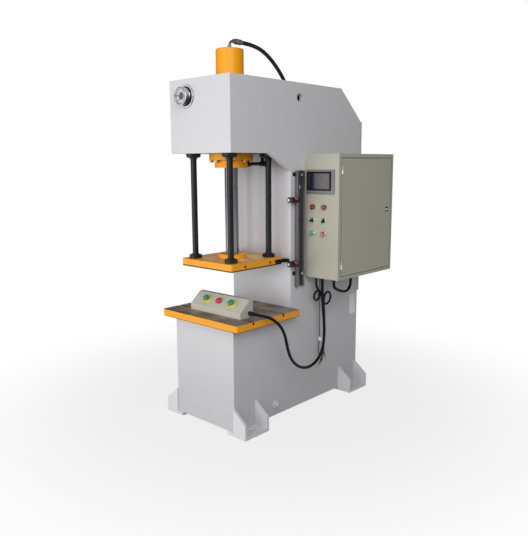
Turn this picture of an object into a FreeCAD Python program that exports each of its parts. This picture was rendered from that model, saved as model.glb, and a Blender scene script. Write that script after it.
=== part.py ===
import FreeCAD, Part
import math
import os
import Sketcher
from types import SimpleNamespace
from FreeCAD import Placement, Rotation, Vector

# A floor-standing single-column hydraulic press. Millimetres, +Z up, the press faces -Y.
# The origin is on the floor, at the centre of the four anchor holes.
# Sizes that start with y_ are measured backwards from the front face of the head.

DIMENSIONS = {
    # welded frame
    "frame_width": 500,
    "frame_depth": 1217,
    "side_thick": 25,
    "plate_thick": 20,
    "front_face": -600,
    "head_top": 2030,
    "head_under": 1616,
    "y_chamfer": 996,
    "chamfer_low": 1838,
    "y_gusset": 306,
    "gusset_low": 1511,
    "y_column": 498,
    "lifting_hole": 50,
    "y_lifting": 578,
    "lifting_level": 1942,
    "rear_sheet": 12,
    "rear_opening_width": 380,
    "rear_opening_low": 760,
    "rear_opening_high": 1700,
    # rear cover
    "cover_width": 492,
    "cover_low": 675,
    "cover_high": 1832,
    "cover_proud": 27,
    "cover_sheet": 3,
    # feet
    "pad_thick": 20,
    "foot_reach": 347,
    "foot_inner": 205,
    "foot_length": 200,
    "gusset_top": 168,
    "gusset_tip": 89,
    "gusset_thick": 16,
    "anchor_x": 600,
    "anchor_y": 1020,
    "anchor_hole": 22,
    # table
    "table_width": 648,
    "table_overhang": 44,
    "table_under": 635,
    "table_thick": 41,
    "table_corner": 14,
    "slot_neck": 10,
    "slot_neck_depth": 8,
    "slot_wide": 18,
    "slot_depth": 16,
    "y_slot": 88,
    "slot_pitch": 258,
    # cylinder
    "y_ram": 245,
    "barrel_dia": 162,
    "barrel_bore": 125,
    "barrel_proud": 176,
    "cap_thick": 36,
    "flange_dia": 260,
    "flange_thick": 38,
    "gland_dia": 195,
    "gland_thick": 44,
    "flange_bolt_circle": 230,
    "flange_bolt_dia": 16,
    "bolt_head_dia": 24,
    "bolt_head": 14,
    "piston_thick": 80,
    "piston_level": 1603,
    "piston_stub": 60,
    "ram_dia": 80,
    "running_gap": 0.05,
    # slide
    "platen_width": 430,
    "platen_depth": 435,
    "platen_thick": 44,
    "platen_top": 996,
    "platen_corner": 14,
    "side_hole": 12,
    "side_hole_pitch": 213,
    "tool_hole": 14,
    "tool_hole_depth": 28,
    "tool_hole_pitch": 200,
    "ram_flange_dia": 175,
    "ram_flange_thick": 26,
    "rod_dia": 36,
    "rod_pitch_x": 306,
    "rod_pitch_y": 320,
    "rod_top": 1735,
    "rod_stub": 28,
    "collar_dia": 76,
    "collar_thick": 20,
    "bush_flange_dia": 86,
    "bush_flange": 32,
    "bush_dia": 60,
    "bush_top": 1700,
    "rod_clearance_hole": 46,
    # striker and sensors
    "y_striker": 394,
    "striker_end": 490,
    "striker_low": 963,
    "striker_high": 984,
    "striker_thick": 14,
    "striker_tip": 20,
    "y_rail": 533,
    "rail_deep": 67,
    "rail_thick": 21,
    "rail_wall": 4,
    "rail_lip": 14,
    "rail_low": 803,
    "rail_high": 1515,
    "strap_thick": 4,
    "strap_high": 24,
    "strap_low_level": 889,
    "strap_high_level": 1493,
    "y_sensor": 466,
    "sensor_wide": 38,
    "sensor_high": 33,
    "sensor_low_level": 953,
    "sensor_high_level": 1341,
    "sensor_barrel": 18,
    "knob_dia": 30,
    # gauge
    "gauge_x": -107,
    "gauge_level": 1934,
    "gauge_flange": 131,
    "gauge_case": 98,
    "gauge_proud": 46,
    "gauge_hole": 60,
    # cabinet
    "y_cabinet": 631,
    "cabinet_depth": 596,
    "cabinet_wide": 258,
    "cabinet_low": 857,
    "cabinet_high": 1613,
    "cabinet_sheet": 2.5,
    "door_rim_front": 30,
    "door_rim_rear": 24,
    "door_rim_low": 22,
    "door_rim_high": 26,
    "door_gap": 2,
    "doorway_return": 16,
    "door_deep": 18,
    "hinge_dia": 11,
    "hinge_pin": 5,
    "hinge_low_level": 951,
    "hinge_high_level": 1518,
    "hinge_knuckle": 25,
    "lock_level": 1261,
    "lock_inset": 44,
    "panel_wide": 210,
    "panel_high": 146,
    "panel_centre": 122,
    "panel_level": 1447,
    "panel_proud": 6,
    "panel_back": 40,
    "button_column": 66,
    "button_pitch_x": 86,
    "lamp_level": 1295,
    "button_pitch_z": 80,
    "button_collar": 29,
    "button_hole": 22,
    "button_cap": 19,
    "button_head": 27,
    "sliding_gap": 0.3,
    # two-hand console
    "console_x": 19,
    "console_wide": 430,
    "y_console": 74,
    "console_lip": 35,
    "console_slope_deep": 78,
    "console_slope_high": 68,
    "console_flat": 27,
    "console_sheet": 2.5,
    "console_pitch": 214,
    "console_disc": 70,
    "console_cap": 40,
    # base
    "plug_dia": 38,
    "y_plug": 356,
    "plug_level": 87,
    # cables
    "two_hand_dia": 18,
    "mains_dia": 13,
    "loop_dia": 18,
    "earth_dia": 6,
    "lead_dia": 5,
    "copper_dia": 3.8,
    "hose_dia": 24,
    "pipe_dia": 18,
    "gland_drop": 28,
}

doc = FreeCAD.newDocument("hydraulic_press")
sheet = doc.addObject("Spreadsheet::Sheet", "dims")
nodes = []


class Size:
    """A length that holds its value and the formula that ties it to the sheet."""

    def __init__(self, value, text):
        self.value = float(value)
        self.text = text

    def join(self, other, sign, value):
        return Size(value, "(" + self.text + sign + as_size(other).text + ")")

    def __add__(self, other):
        return self.join(other, " + ", self.value + as_size(other).value)

    def __sub__(self, other):
        return self.join(other, " - ", self.value - as_size(other).value)

    def __mul__(self, other):
        return self.join(other, " * ", self.value * as_size(other).value)

    def __truediv__(self, other):
        return self.join(other, " / ", self.value / as_size(other).value)

    def __radd__(self, other):
        return as_size(other) + self

    def __rsub__(self, other):
        return as_size(other) - self

    def __rmul__(self, other):
        return as_size(other) * self

    def __neg__(self):
        return Size(-self.value, "(-" + self.text + ")")


def as_size(value):
    return value if isinstance(value, Size) else Size(value, "(%r)" % float(value))


def fill_sheet():
    """Writes one row for each driving dimension and gives its cell a name."""
    named = {}
    for row, (name, value) in enumerate(DIMENSIONS.items(), 1):
        sheet.set("A%d" % row, name)
        sheet.set("B%d" % row, str(value))
        sheet.setAlias("B%d" % row, name)
        named[name] = Size(value, "dims." + name)
    doc.recompute()
    return SimpleNamespace(**named)


d = fill_sheet()

# Planes that several pieces share.
half_width = d.frame_width / 2
barrel_top = d.head_top + d.barrel_proud
panel_x = half_width + d.panel_centre
inner_x = half_width - d.side_thick
ram_y = d.front_face + d.y_ram
column_y = d.front_face + d.y_column
rear_y = d.front_face + d.frame_depth
table_top = d.table_under + d.table_thick
platen_under = d.platen_top - d.platen_thick
flange_under = d.head_under - d.flange_thick
gland_under = flange_under - d.gland_thick


# ---------------------------------------------------------------- helpers

def bind(thing, name, size):
    thing.setExpression(name, as_size(size).text)


def keep(thing, label):
    """Registers a finished sub-part, whose label names its node."""
    thing.Label = label
    nodes.append(thing)
    return thing


def put(thing, at, turn=Rotation()):
    place = [as_size(size) for size in at]
    thing.Placement = Placement(Vector(*[size.value for size in place]), turn)
    for axis, size in zip("xyz", place):
        bind(thing, "Placement.Base." + axis, size)
    return thing


def new_body(name, at=(0, 0, 0), turn=Rotation()):
    return put(doc.addObject("PartDesign::Body", name), at, turn)


def new_sketch(body, plane, offset=None):
    sketch = body.newObject("Sketcher::SketchObject", body.Name + "_sketch")
    support = [part for part in body.Origin.OriginFeatures if part.Role == plane + "_Plane"]
    sketch.AttachmentSupport = [(support[0], "")]
    sketch.MapMode = "FlatFace"
    if offset is not None:
        bind(sketch, "AttachmentOffset.Base.z", offset)
    return sketch


def pin_point(sketch, index, point, place):
    for kind, size in zip(("DistanceX", "DistanceY"), place):
        size = as_size(size)
        number = sketch.addConstraint(Sketcher.Constraint(kind, -1, 1, index, point, size.value))
        bind(sketch, "Constraints[%d]" % number, size)


def draw_outline(sketch, points):
    """Draws a closed outline whose corners are bound to the sheet."""
    first = sketch.GeometryCount
    places = [[as_size(size) for size in point] for point in points]
    spots = [Vector(a.value, b.value, 0) for a, b in places]
    for here, there in zip(spots, spots[1:] + spots[:1]):
        sketch.addGeometry(Part.LineSegment(here, there), False)
    for number in range(len(spots)):
        after = first + (number + 1) % len(spots)
        sketch.addConstraint(Sketcher.Constraint("Coincident", first + number, 2, after, 1))
    for number, place in enumerate(places):
        pin_point(sketch, first + number, 1, place)
    return sketch


def draw_circle(sketch, centre, diameter):
    place = [as_size(size) for size in centre]
    spot = Vector(place[0].value, place[1].value, 0)
    radius = as_size(diameter) / 2
    index = sketch.addGeometry(Part.Circle(spot, Vector(0, 0, 1), radius.value), False)
    pin_point(sketch, index, 3, place)
    number = sketch.addConstraint(Sketcher.Constraint("Radius", index, radius.value))
    bind(sketch, "Constraints[%d]" % number, radius)
    return sketch


def rectangle(low, high):
    return [(low[0], low[1]), (high[0], low[1]), (high[0], high[1]), (low[0], high[1])]


def pad(body, sketch, length, back=False):
    feature = body.newObject("PartDesign::Pad", body.Name + "_pad")
    feature.Profile = sketch
    bind(feature, "Length", length)
    feature.Reversed = back
    body.Tip = feature
    return body


def cut_through(body, sketch):
    feature = body.newObject("PartDesign::Pocket", body.Name + "_cut")
    feature.Profile = sketch
    feature.Type = "ThroughAll"
    feature.Midplane = True
    body.Tip = feature
    return body


def cut_deep(body, sketch, depth, back=False):
    feature = body.newObject("PartDesign::Pocket", body.Name + "_pocket")
    feature.Profile = sketch
    bind(feature, "Length", depth)
    feature.Reversed = back
    body.Tip = feature
    return body


def revolve(body, points):
    """Turns an outline of (radius, height) points about the body's own Z axis."""
    sketch = draw_outline(new_sketch(body, "XZ"), points)
    feature = body.newObject("PartDesign::Revolution", body.Name + "_turn")
    feature.Profile = sketch
    feature.ReferenceAxis = (sketch, ["V_Axis"])
    feature.Angle = 360
    body.Tip = feature
    return body


def round_edges(body, radius, wanted, kind="Fillet"):
    """Rounds or chamfers the edges of the tip that the test picks."""
    doc.recompute()
    base = body.Tip
    names = ["Edge%d" % number for number, edge in enumerate(base.Shape.Edges, 1) if wanted(edge)]
    feature = body.newObject("PartDesign::" + kind, body.Name + "_" + kind.lower())
    feature.Base = (base, names)
    bind(feature, "Radius" if kind == "Fillet" else "Size", radius)
    body.Tip = feature
    return body


def runs_along(edge, axis):
    if edge.Curve.TypeId != "Part::GeomLine":
        return False
    return abs(abs(edge.Curve.Direction.dot(axis)) - 1) < 1e-6


def upright(edge):
    return runs_along(edge, Vector(0, 0, 1))


def circle_of(size):
    """Gives a test for round edges of one diameter."""
    radius = as_size(size).value / 2
    return lambda edge: edge.Curve.TypeId == "Part::GeomCircle" and abs(edge.Curve.Radius - radius) < 1e-6


def plate_x(name, x, thick, points):
    """A plate whose outline is in Y and Z, and which is thick in X."""
    body = new_body(name, (x, 0, 0))
    return pad(body, draw_outline(new_sketch(body, "YZ"), points), thick)


def plate_y(name, y, thick, points):
    """A plate whose outline is in X and Z, and which is thick in Y."""
    body = new_body(name, (0, y, 0))
    return pad(body, draw_outline(new_sketch(body, "XZ"), points), thick, back=True)


def plate_z(name, z, thick, points):
    """A plate whose outline is in X and Y, and which is thick in Z."""
    body = new_body(name, (0, 0, z))
    return pad(body, draw_outline(new_sketch(body, "XY"), points), thick)


def box(name, low, size):
    thing = put(doc.addObject("Part::Box", name), low)
    for side, length in zip(("Length", "Width", "Height"), size):
        bind(thing, side, length)
    return thing


ALONG_X = Rotation(Vector(0, 1, 0), 90)
ALONG_Y = Rotation(Vector(1, 0, 0), -90)
TO_FRONT = Rotation(Vector(1, 0, 0), 90)
ALONG_Z = Rotation()


def cylinder(name, at, diameter, length, turn=ALONG_Z):
    thing = put(doc.addObject("Part::Cylinder", name), at, turn)
    bind(thing, "Radius", as_size(diameter) / 2)
    bind(thing, "Height", length)
    return thing


def hexagon(name, at, across, length, turn=ALONG_Z):
    """A hexagonal prism, sized across its flats."""
    thing = put(doc.addObject("Part::Prism", name), at, turn)
    thing.Polygon = 6
    bind(thing, "Circumradius", as_size(across) / math.sqrt(3))
    bind(thing, "Height", length)
    return thing


def fuse(name, parts):
    thing = doc.addObject("Part::MultiFuse", name)
    thing.Shapes = parts
    thing.Refine = True
    return thing


def cut(name, base, tool):
    thing = doc.addObject("Part::Cut", name)
    thing.Base = base
    thing.Tool = tool
    return thing


def gather(name, parts):
    """A group of separate solids that share one node."""
    thing = doc.addObject("Part::Compound", name)
    thing.Links = parts
    return thing


def tube_shape(label, points, diameter):
    """A tube along straight runs and tangent arcs, as large as the runs allow."""
    edges = []
    radii = []
    here = points[0]
    for before, corner, after in zip(points, points[1:], points[2:]):
        back = before - corner
        ahead = after - corner
        half_turn = (math.pi - back.getAngle(ahead)) / 2
        reach = 0.45 * min(back.Length, ahead.Length)
        radii.append(reach / math.tan(half_turn))
        start = corner + back.normalize() * reach
        end = corner + ahead.normalize() * reach
        bisector = (start + end) * 0.5 - corner
        middle = corner + bisector.normalize() * (radii[-1] / math.cos(half_turn) - radii[-1])
        edges.append(Part.LineSegment(here, start).toShape())
        edges.append(Part.Arc(start, middle, end).toShape())
        here = end
    edges.append(Part.LineSegment(here, points[-1]).toShape())
    path = Part.Wire(edges)
    section = Part.Circle(points[0], points[1] - points[0], diameter / 2).toShape()
    shell = Part.BRepOffsetAPI.MakePipeShell(path)
    shell.add(Part.Wire([section]))
    shell.build()
    shell.makeSolid()
    shape = shell.shape()
    expected = math.pi * diameter ** 2 / 4 * path.Length
    print(label, "length %.0f" % path.Length, "least radius %.0f" % min(radii),
          "volume share %.4f" % (shape.Volume / expected))
    return shape


def tube(name, points, size, base=(0, 0, 0)):
    """A bent tube whose points are given from a base point."""
    shift = Vector(*[as_size(part).value for part in base])
    thing = doc.addObject("Part::Feature", name)
    thing.Shape = tube_shape(name, [Vector(*point) for point in points], size.value)
    thing.Placement = Placement(shift, Rotation())
    return thing


# ---------------------------------------------------------------- welded frame

def side_plates():
    """Two flame-cut C plates with a sloped throat corner and a chamfered top rear corner."""
    f = d.front_face
    outline = [(f, d.pad_thick), (f, d.table_under), (column_y, d.table_under),
               (column_y, d.gusset_low), (f + d.y_gusset, d.head_under), (f, d.head_under),
               (f, d.head_top), (f + d.y_chamfer, d.head_top), (rear_y, d.chamfer_low),
               (rear_y, d.pad_thick)]
    for name, x in (("side_plate_left", -half_width), ("side_plate_right", inner_x)):
        plate = plate_x(name, x, d.side_thick, outline)
        hole = draw_circle(new_sketch(plate, "YZ"), (f + d.y_lifting, d.lifting_level), d.lifting_hole)
        if name == "side_plate_right":
            draw_circle(hole, (f + d.y_plug, d.plug_level), d.plug_dia / 2)
        keep(cut_through(plate, hole), name)


def head_plates():
    f = d.front_face
    front = plate_y("head_front_plate", f, d.plate_thick,
                    rectangle((-inner_x, d.head_under), (inner_x, d.head_top)))
    hole = draw_circle(new_sketch(front, "XZ"), (d.gauge_x, d.gauge_level), d.gauge_hole)
    keep(cut_through(front, hole), "head_front_plate")

    top = plate_z("head_top_plate", d.head_top - d.plate_thick, d.plate_thick,
                  rectangle((-inner_x, f + d.plate_thick), (inner_x, f + d.y_chamfer)))
    holes = draw_circle(new_sketch(top, "XY"), (0, ram_y), d.barrel_dia)
    draw_rod_circles(holes, d.rod_clearance_hole)
    draw_circle(holes, (0, d.front_face + HOSE_HOLE_Y), GROMMET_DIA)
    keep(cut_through(top, holes), "head_top_plate")

    bottom = plate_z("head_bottom_plate", d.head_under, d.plate_thick * 1.5,
                     rectangle((-inner_x, f + d.plate_thick), (inner_x, column_y + d.plate_thick)))
    holes = draw_circle(new_sketch(bottom, "XY"), (0, ram_y), d.barrel_dia)
    draw_rod_circles(holes, d.bush_dia)
    keep(cut_through(bottom, holes), "head_bottom_plate")


def rod_places():
    return [(sx * d.rod_pitch_x / 2, ram_y + sy * d.rod_pitch_y / 2) for sy in (-1, 1) for sx in (-1, 1)]


def draw_rod_circles(sketch, diameter):
    for place in rod_places():
        draw_circle(sketch, place, diameter)


def column_and_base():
    keep(plate_y("column_front_plate", column_y, d.plate_thick,
                 rectangle((-inner_x, d.table_under), (inner_x, d.head_under))), "column_front_plate")
    keep(plate_y("base_front_plate", d.front_face, d.plate_thick,
                 rectangle((-inner_x, d.pad_thick), (inner_x, d.table_under))), "base_front_plate")


def rear_wall():
    """One folded sheet: the sloped top rear corner and the back of the column."""
    slope = (d.head_top - d.chamfer_low) / (d.frame_depth - d.y_chamfer)
    drop = d.rear_sheet * 1.25
    inside_y = rear_y - d.rear_sheet
    outline = [(d.front_face + d.y_chamfer, d.head_top), (rear_y, d.chamfer_low), (rear_y, d.pad_thick),
               (inside_y, d.pad_thick), (inside_y, d.chamfer_low - drop + d.rear_sheet * slope),
               (d.front_face + d.y_chamfer, d.head_top - drop)]
    wall = plate_x("rear_wall", -inner_x, inner_x * 2, outline)
    opening = draw_outline(new_sketch(wall, "XZ"), rectangle(
        (inner_x - d.rear_opening_width / 2, d.rear_opening_low),
        (inner_x + d.rear_opening_width / 2, d.rear_opening_high)))
    keep(cut_through(wall, opening), "rear_wall")


def rear_cover():
    """A shallow folded pan over the rear opening, with louvre slots near its top and bottom."""
    half = d.cover_width / 2
    cover = plate_y("rear_cover", rear_y, d.cover_proud,
                    rectangle((-half, d.cover_low), (half, d.cover_high)))
    s = d.cover_sheet
    hollow = draw_outline(new_sketch(cover, "XZ"),
                          rectangle((s - half, d.cover_low + s), (half - s, d.cover_high - s)))
    cut_deep(cover, hollow, d.cover_proud - s)
    slots = new_sketch(cover, "XZ")
    for level in (d.cover_low + 120, d.cover_high - 260):
        for row in range(5):
            for side in (-1, 1):
                low = level + row * 32
                centre = side * 75
                draw_outline(slots, rectangle((centre - 50, low), (centre + 50, low + 8)))
    keep(cut_through(cover, slots), "rear_cover")


def feet():
    """Four welded feet: two upright gussets on a pad with an anchor hole."""
    made = []
    first = -d.anchor_y / 2 - d.foot_length / 2
    second = d.anchor_y / 2 - d.foot_length / 2
    for row, low_y in (("front", first), ("rear", second)):
        for name, side in (("left", -1), ("right", 1)):
            label = "foot_%s_%s" % (row, name)
            inner = side * d.foot_inner
            outer = side * d.foot_reach
            wall = side * half_width
            pad_plate = plate_z(label + "_pad", 0, d.pad_thick,
                                rectangle((inner, low_y), (outer, low_y + d.foot_length)))
            hole = draw_circle(new_sketch(pad_plate, "XY"),
                               (side * d.anchor_x / 2, low_y + d.foot_length / 2), d.anchor_hole)
            cut_through(pad_plate, hole)
            triangle = [(wall, d.pad_thick), (outer, d.pad_thick), (outer, d.gusset_tip),
                        (wall, d.gusset_top)]
            gusset_a = plate_y(label + "_front_gusset", low_y, d.gusset_thick, triangle)
            gusset_b = plate_y(label + "_rear_gusset", low_y + d.foot_length - d.gusset_thick,
                               d.gusset_thick, triangle)
            made.append(fuse(label, [pad_plate, gusset_a, gusset_b]))
    keep(gather("feet", made), "feet")


def work_table():
    """A thick table with two T-slots that run right across it."""
    half = d.table_width / 2
    front = d.front_face - d.table_overhang
    table = plate_z("work_table", d.table_under, d.table_thick,
                    rectangle((-half, front), (half, column_y)))
    round_edges(table, d.table_corner, lambda edge: upright(edge) and edge.CenterOfMass.y < column_y.value - 1)
    top = d.table_thick
    for number in (0, 1):
        y = d.front_face + d.y_slot + number * d.slot_pitch
        neck = draw_outline(new_sketch(table, "YZ"), tee_outline(y, top))
        cut_through(table, neck)
    keep(table, "work_table")


def tee_outline(y, top):
    neck = d.slot_neck / 2
    wide = d.slot_wide / 2
    step = top - d.slot_neck_depth
    floor = top - d.slot_depth
    return [(y - neck, top), (y - neck, step), (y - wide, step), (y - wide, floor),
            (y + wide, floor), (y + wide, step), (y + neck, step), (y + neck, top)]


def drain_plug():
    """A boss welded to the base side with a hexagon-headed plug in it."""
    y = d.front_face + d.y_plug
    boss = cylinder("plug_boss", (half_width, y, d.plug_level), d.plug_dia, 8, ALONG_X)
    head = hexagon("plug_head", (half_width + 8, y, d.plug_level), 24, 11, ALONG_X)
    shank = cylinder("plug_shank", (inner_x, y, d.plug_level), d.plug_dia / 2, d.side_thick + 8, ALONG_X)
    keep(fuse("drain_plug", [boss, head, shank]), "drain_plug")


# ---------------------------------------------------------------- hydraulics

HOSE_HOLE_Y = 752
GROMMET_DIA = 60
GROMMET_BORE = 38


def cylinder_parts():
    """Barrel with its closed top, mounting flange, gland and the flange bolts."""
    outer = d.barrel_dia / 2
    bore = d.barrel_bore / 2
    length = barrel_top - flange_under
    barrel = new_body("cylinder_barrel", (0, ram_y, flange_under))
    revolve(barrel, [(bore, 0), (outer, 0), (outer, length), (12, length),
                     (12, length - 20), (6, length - 20), (6, length - d.cap_thick), (bore, length - d.cap_thick)])
    round_edges(barrel, 3, circle_of(d.barrel_dia), "Chamfer")
    keep(barrel, "cylinder_barrel")

    flange = new_body("cylinder_flange", (0, ram_y, flange_under))
    revolve(flange, [(outer, 0), (d.flange_dia / 2, 0), (d.flange_dia / 2, d.flange_thick),
                     (outer, d.flange_thick)])
    holes = new_sketch(flange, "XY")
    for place in bolt_places():
        draw_circle(holes, place, d.flange_bolt_dia)
    keep(cut_through(flange, holes), "cylinder_flange")

    gland = new_body("rod_gland", (0, ram_y, gland_under))
    ram_bore = d.ram_dia / 2 + d.running_gap
    revolve(gland, [(ram_bore, 0), (d.gland_dia / 2, 0), (d.gland_dia / 2, d.gland_thick),
                    (ram_bore, d.gland_thick)])
    round_edges(gland, 2, circle_of(d.gland_dia), "Chamfer")
    keep(gland, "rod_gland")

    bolts = []
    for number, place in enumerate(bolt_places()):
        bolt = new_body("flange_bolt_%d" % number, (place[0], ram_y + place[1], flange_under))
        head = d.bolt_head_dia / 2
        shank = d.flange_bolt_dia / 2
        socket = 7
        revolve(bolt, [(0, -d.bolt_head / 2), (socket, -d.bolt_head / 2), (socket, -d.bolt_head),
                       (head, -d.bolt_head), (head, 0), (shank, 0), (shank, d.flange_thick),
                       (0, d.flange_thick)])
        bolts.append(bolt)
    keep(gather("flange_bolts", bolts), "flange_bolts")


def bolt_places():
    radius = d.flange_bolt_circle / 2
    angles = [math.radians(45 * number) for number in range(8)]
    return [(radius * math.cos(angle), radius * math.sin(angle)) for angle in angles]


ELBOW_LEVEL = 50
VALVE_PORT_Y = 1018
VALVE_TOP = 540
HOSE_START_Y = 95
PIPE_TURN = 74
PIPE_OUT = 217


def hydraulic_lines():
    """The cap elbow and hose, the hose grommet and coupling, and the return pipe under the head."""
    top = barrel_top
    f = d.front_face
    nut = hexagon("elbow_nut", (0, ram_y, top), 36, 16)
    riser = cylinder("elbow_riser", (0, ram_y, top), 24, ELBOW_LEVEL)
    knee = put(doc.addObject("Part::Sphere", "elbow_knee"), (0, ram_y, top + ELBOW_LEVEL))
    bind(knee, "Radius", 13)
    arm = cylinder("elbow_arm", (0, ram_y, top + ELBOW_LEVEL), 24, 50, ALONG_Y)
    swivel = hexagon("elbow_swivel", (0, ram_y + 30, top + ELBOW_LEVEL), 32, 18, ALONG_Y)
    ferrule = cylinder("elbow_ferrule", (0, ram_y + 50, top + ELBOW_LEVEL), 33, HOSE_START_Y - 50, ALONG_Y)
    elbow = fuse("top_elbow", [nut, riser, knee, arm, swivel, ferrule])

    ring = new_body("hose_grommet", (0, f + HOSE_HOLE_Y, d.head_top - d.plate_thick))
    revolve(ring, [(GROMMET_BORE / 2, 0), (GROMMET_DIA / 2, 0), (GROMMET_DIA / 2, d.plate_thick),
                   (GROMMET_DIA / 2 + 6, d.plate_thick), (GROMMET_DIA / 2 + 6, d.plate_thick + 5),
                   (GROMMET_BORE / 2, d.plate_thick + 5)])
    port = hexagon("port_nut", (0, f + VALVE_PORT_Y, VALVE_TOP), 36, 20)
    port_end = cylinder("port_ferrule", (0, f + VALVE_PORT_Y, VALVE_TOP + 20), 33, 20)
    inner = fuse("valve_port", [port, port_end])

    turn = math.radians(PIPE_TURN)
    sideways = Rotation(Vector(0, 0, 1), PIPE_TURN) * ALONG_X
    level = gland_under + d.gland_thick / 2
    rim = d.gland_dia / 2

    def out(reach):
        return (reach * math.cos(turn), ram_y + reach * math.sin(turn), level)

    outlet = cylinder("outlet_nipple", out(rim - 0.5), 22, 54, sideways)
    outlet_nut = hexagon("outlet_nut", out(rim + 14), 30, 22, sideways)
    return_fitting = fuse("return_fitting", [outlet, outlet_nut])
    seat = cut("return_seat", return_fitting, cylinder("gland_room", (0, ram_y, gland_under - 10),
                                                      d.gland_dia, d.gland_thick + 20))
    spot = out(PIPE_OUT)
    union = hexagon("pipe_union", (spot[0], spot[1], d.head_under - 18), 32, 18)
    union_ring = cut("union_ring", union, cylinder("union_bore", (spot[0], spot[1], d.head_under - 20),
                                                   d.pipe_dia, 22))
    keep(gather("hose_fittings", [elbow, ring, inner, seat, union_ring]), "hose_fittings")

    start = out(rim + 53.5)
    corner = Vector(spot[0], spot[1].value, level.value)
    pipe = doc.addObject("Part::Feature", "return_pipe")
    begin = Vector(start[0].value, start[1].value, level.value)
    end = Vector(corner.x, corner.y, d.head_under.value)
    pipe.Shape = tube_shape("return_pipe", [begin, corner, end], d.pipe_dia.value)
    keep(pipe, "return_pipe")

    keep(tube("hydraulic_hose", HOSE_POINTS, d.hose_dia, (0, f, barrel_top + ELBOW_LEVEL)),
         "hydraulic_hose")


# The hose's route, as y from the head's front face and height above the cap elbow.
HOSE_POINTS = [(0, 340, 0), (0, 442, 0), (0, 556, -34), (0, 664, -112), (0, 742, -198),
               (0, 768, -300), (0, 772, -520), (0, 800, -800), (0, 880, -1090), (0, 968, -1360),
               (0, 1018, -1530), (0, 1018, -1676)]


def guide_bushes():
    bushes = []
    bore = d.rod_dia / 2 + d.running_gap
    for number, (x, y) in enumerate(rod_places()):
        bush = new_body("guide_bush_%d" % number, (x, y, d.head_under))
        rim = d.bush_flange_dia / 2
        wall = d.bush_dia / 2
        revolve(bush, [(bore, -d.bush_flange), (rim, -d.bush_flange), (rim, 0), (wall, 0),
                       (wall, d.bush_top - d.head_under), (bore, d.bush_top - d.head_under)])
        bushes.append(bush)
    keep(gather("guide_bushes", bushes), "guide_bushes")


def power_unit():
    """Oil tank with its lid, the pump motor that stands on it and the valve block."""
    f = d.front_face
    front = f + d.plate_thick
    depth = d.frame_depth - d.plate_thick - d.rear_sheet
    wall = 5
    low = 40
    tank_high = 360
    outside = box("tank_outside", (-inner_x, front, low), (inner_x * 2, depth, tank_high))
    inside = box("tank_inside", (wall - inner_x, front + wall, low + wall),
                 (inner_x * 2 - 2 * wall, depth - 2 * wall, tank_high))
    lid = box("tank_lid", (-inner_x, front, low + tank_high), (inner_x * 2, depth, 10))
    lid_top = low + tank_high + 10
    keep(gather("oil_tank", [cut("tank_body", outside, inside), lid]), "oil_tank")

    motor_y = f + 800
    foot = cylinder("motor_flange", (0, motor_y, lid_top), 250, 14)
    case = cylinder("motor_case", (0, motor_y, lid_top + 14), 200, 260)
    cowl = cylinder("motor_cowl", (0, motor_y, lid_top + 274), 210, 60)
    terminal = box("motor_terminal", (80, motor_y - 50, lid_top + 120), (60, 100, 90))
    pump = cylinder("gear_pump", (0, motor_y, lid_top - 140), 110, 130)
    keep(gather("pump_motor", [fuse("motor", [foot, case, cowl, terminal]), pump]), "pump_motor")

    block = box("valve_manifold", (-60, f + VALVE_PORT_Y - 24, lid_top), (120, 130, VALVE_TOP - lid_top))
    coil = box("valve_body", (-110, f + VALVE_PORT_Y + 26, VALVE_TOP), (220, 50, 50))
    keep(fuse("valve_block", [block, coil]), "valve_block")


# ---------------------------------------------------------------- moving slide

def slide():
    """Piston, ram, ram flange, platen, guide rods and their collars."""
    stub = d.piston_stub / 2
    bore_wall = d.barrel_bore / 2 - d.running_gap
    piston = new_body("piston", (0, ram_y, d.piston_level))
    revolve(piston, [(stub, 0), (bore_wall, 0), (bore_wall, 22), (bore_wall - 5, 22), (bore_wall - 5, 34),
                     (bore_wall, 34), (bore_wall, d.piston_thick), (stub, d.piston_thick)])
    keep(piston, "piston")

    shaft = d.ram_dia / 2
    ram = new_body("ram", (0, ram_y, d.platen_top))
    shoulder = d.piston_level - d.platen_top
    revolve(ram, [(0, 0), (shaft, 0), (shaft, shoulder), (stub, shoulder),
                  (stub, shoulder + d.piston_thick), (0, shoulder + d.piston_thick)])
    keep(ram, "ram")

    flange = new_body("ram_flange", (0, ram_y, d.platen_top))
    rim = d.ram_flange_dia / 2
    revolve(flange, [(shaft, 0), (rim, 0), (rim, d.ram_flange_thick), (shaft, d.ram_flange_thick)])
    round_edges(flange, 2, circle_of(d.ram_flange_dia), "Chamfer")
    keep(flange, "ram_flange")
    keep(platen(), "platen")

    rods = []
    collars = []
    top = d.rod_top - d.platen_top
    half = d.rod_dia / 2
    small = d.rod_stub / 2
    for number, (x, y) in enumerate(rod_places()):
        rod = new_body("guide_rod_%d" % number, (x, y, d.platen_top))
        revolve(rod, [(0, -d.platen_thick), (small, -d.platen_thick), (small, 0), (half, 0),
                      (half, top - 3), (half - 3, top), (0, top)])
        rods.append(rod)
        collar = new_body("rod_collar_%d" % number, (x, y, d.platen_top))
        revolve(collar, [(half, 0), (d.collar_dia / 2, 0), (d.collar_dia / 2, d.collar_thick),
                         (half + 9, d.collar_thick), (half + 9, d.collar_thick + 8),
                         (half, d.collar_thick + 8)])
        collars.append(collar)
    keep(gather("guide_rods", rods), "guide_rods")
    keep(gather("rod_collars", collars), "rod_collars")


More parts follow.
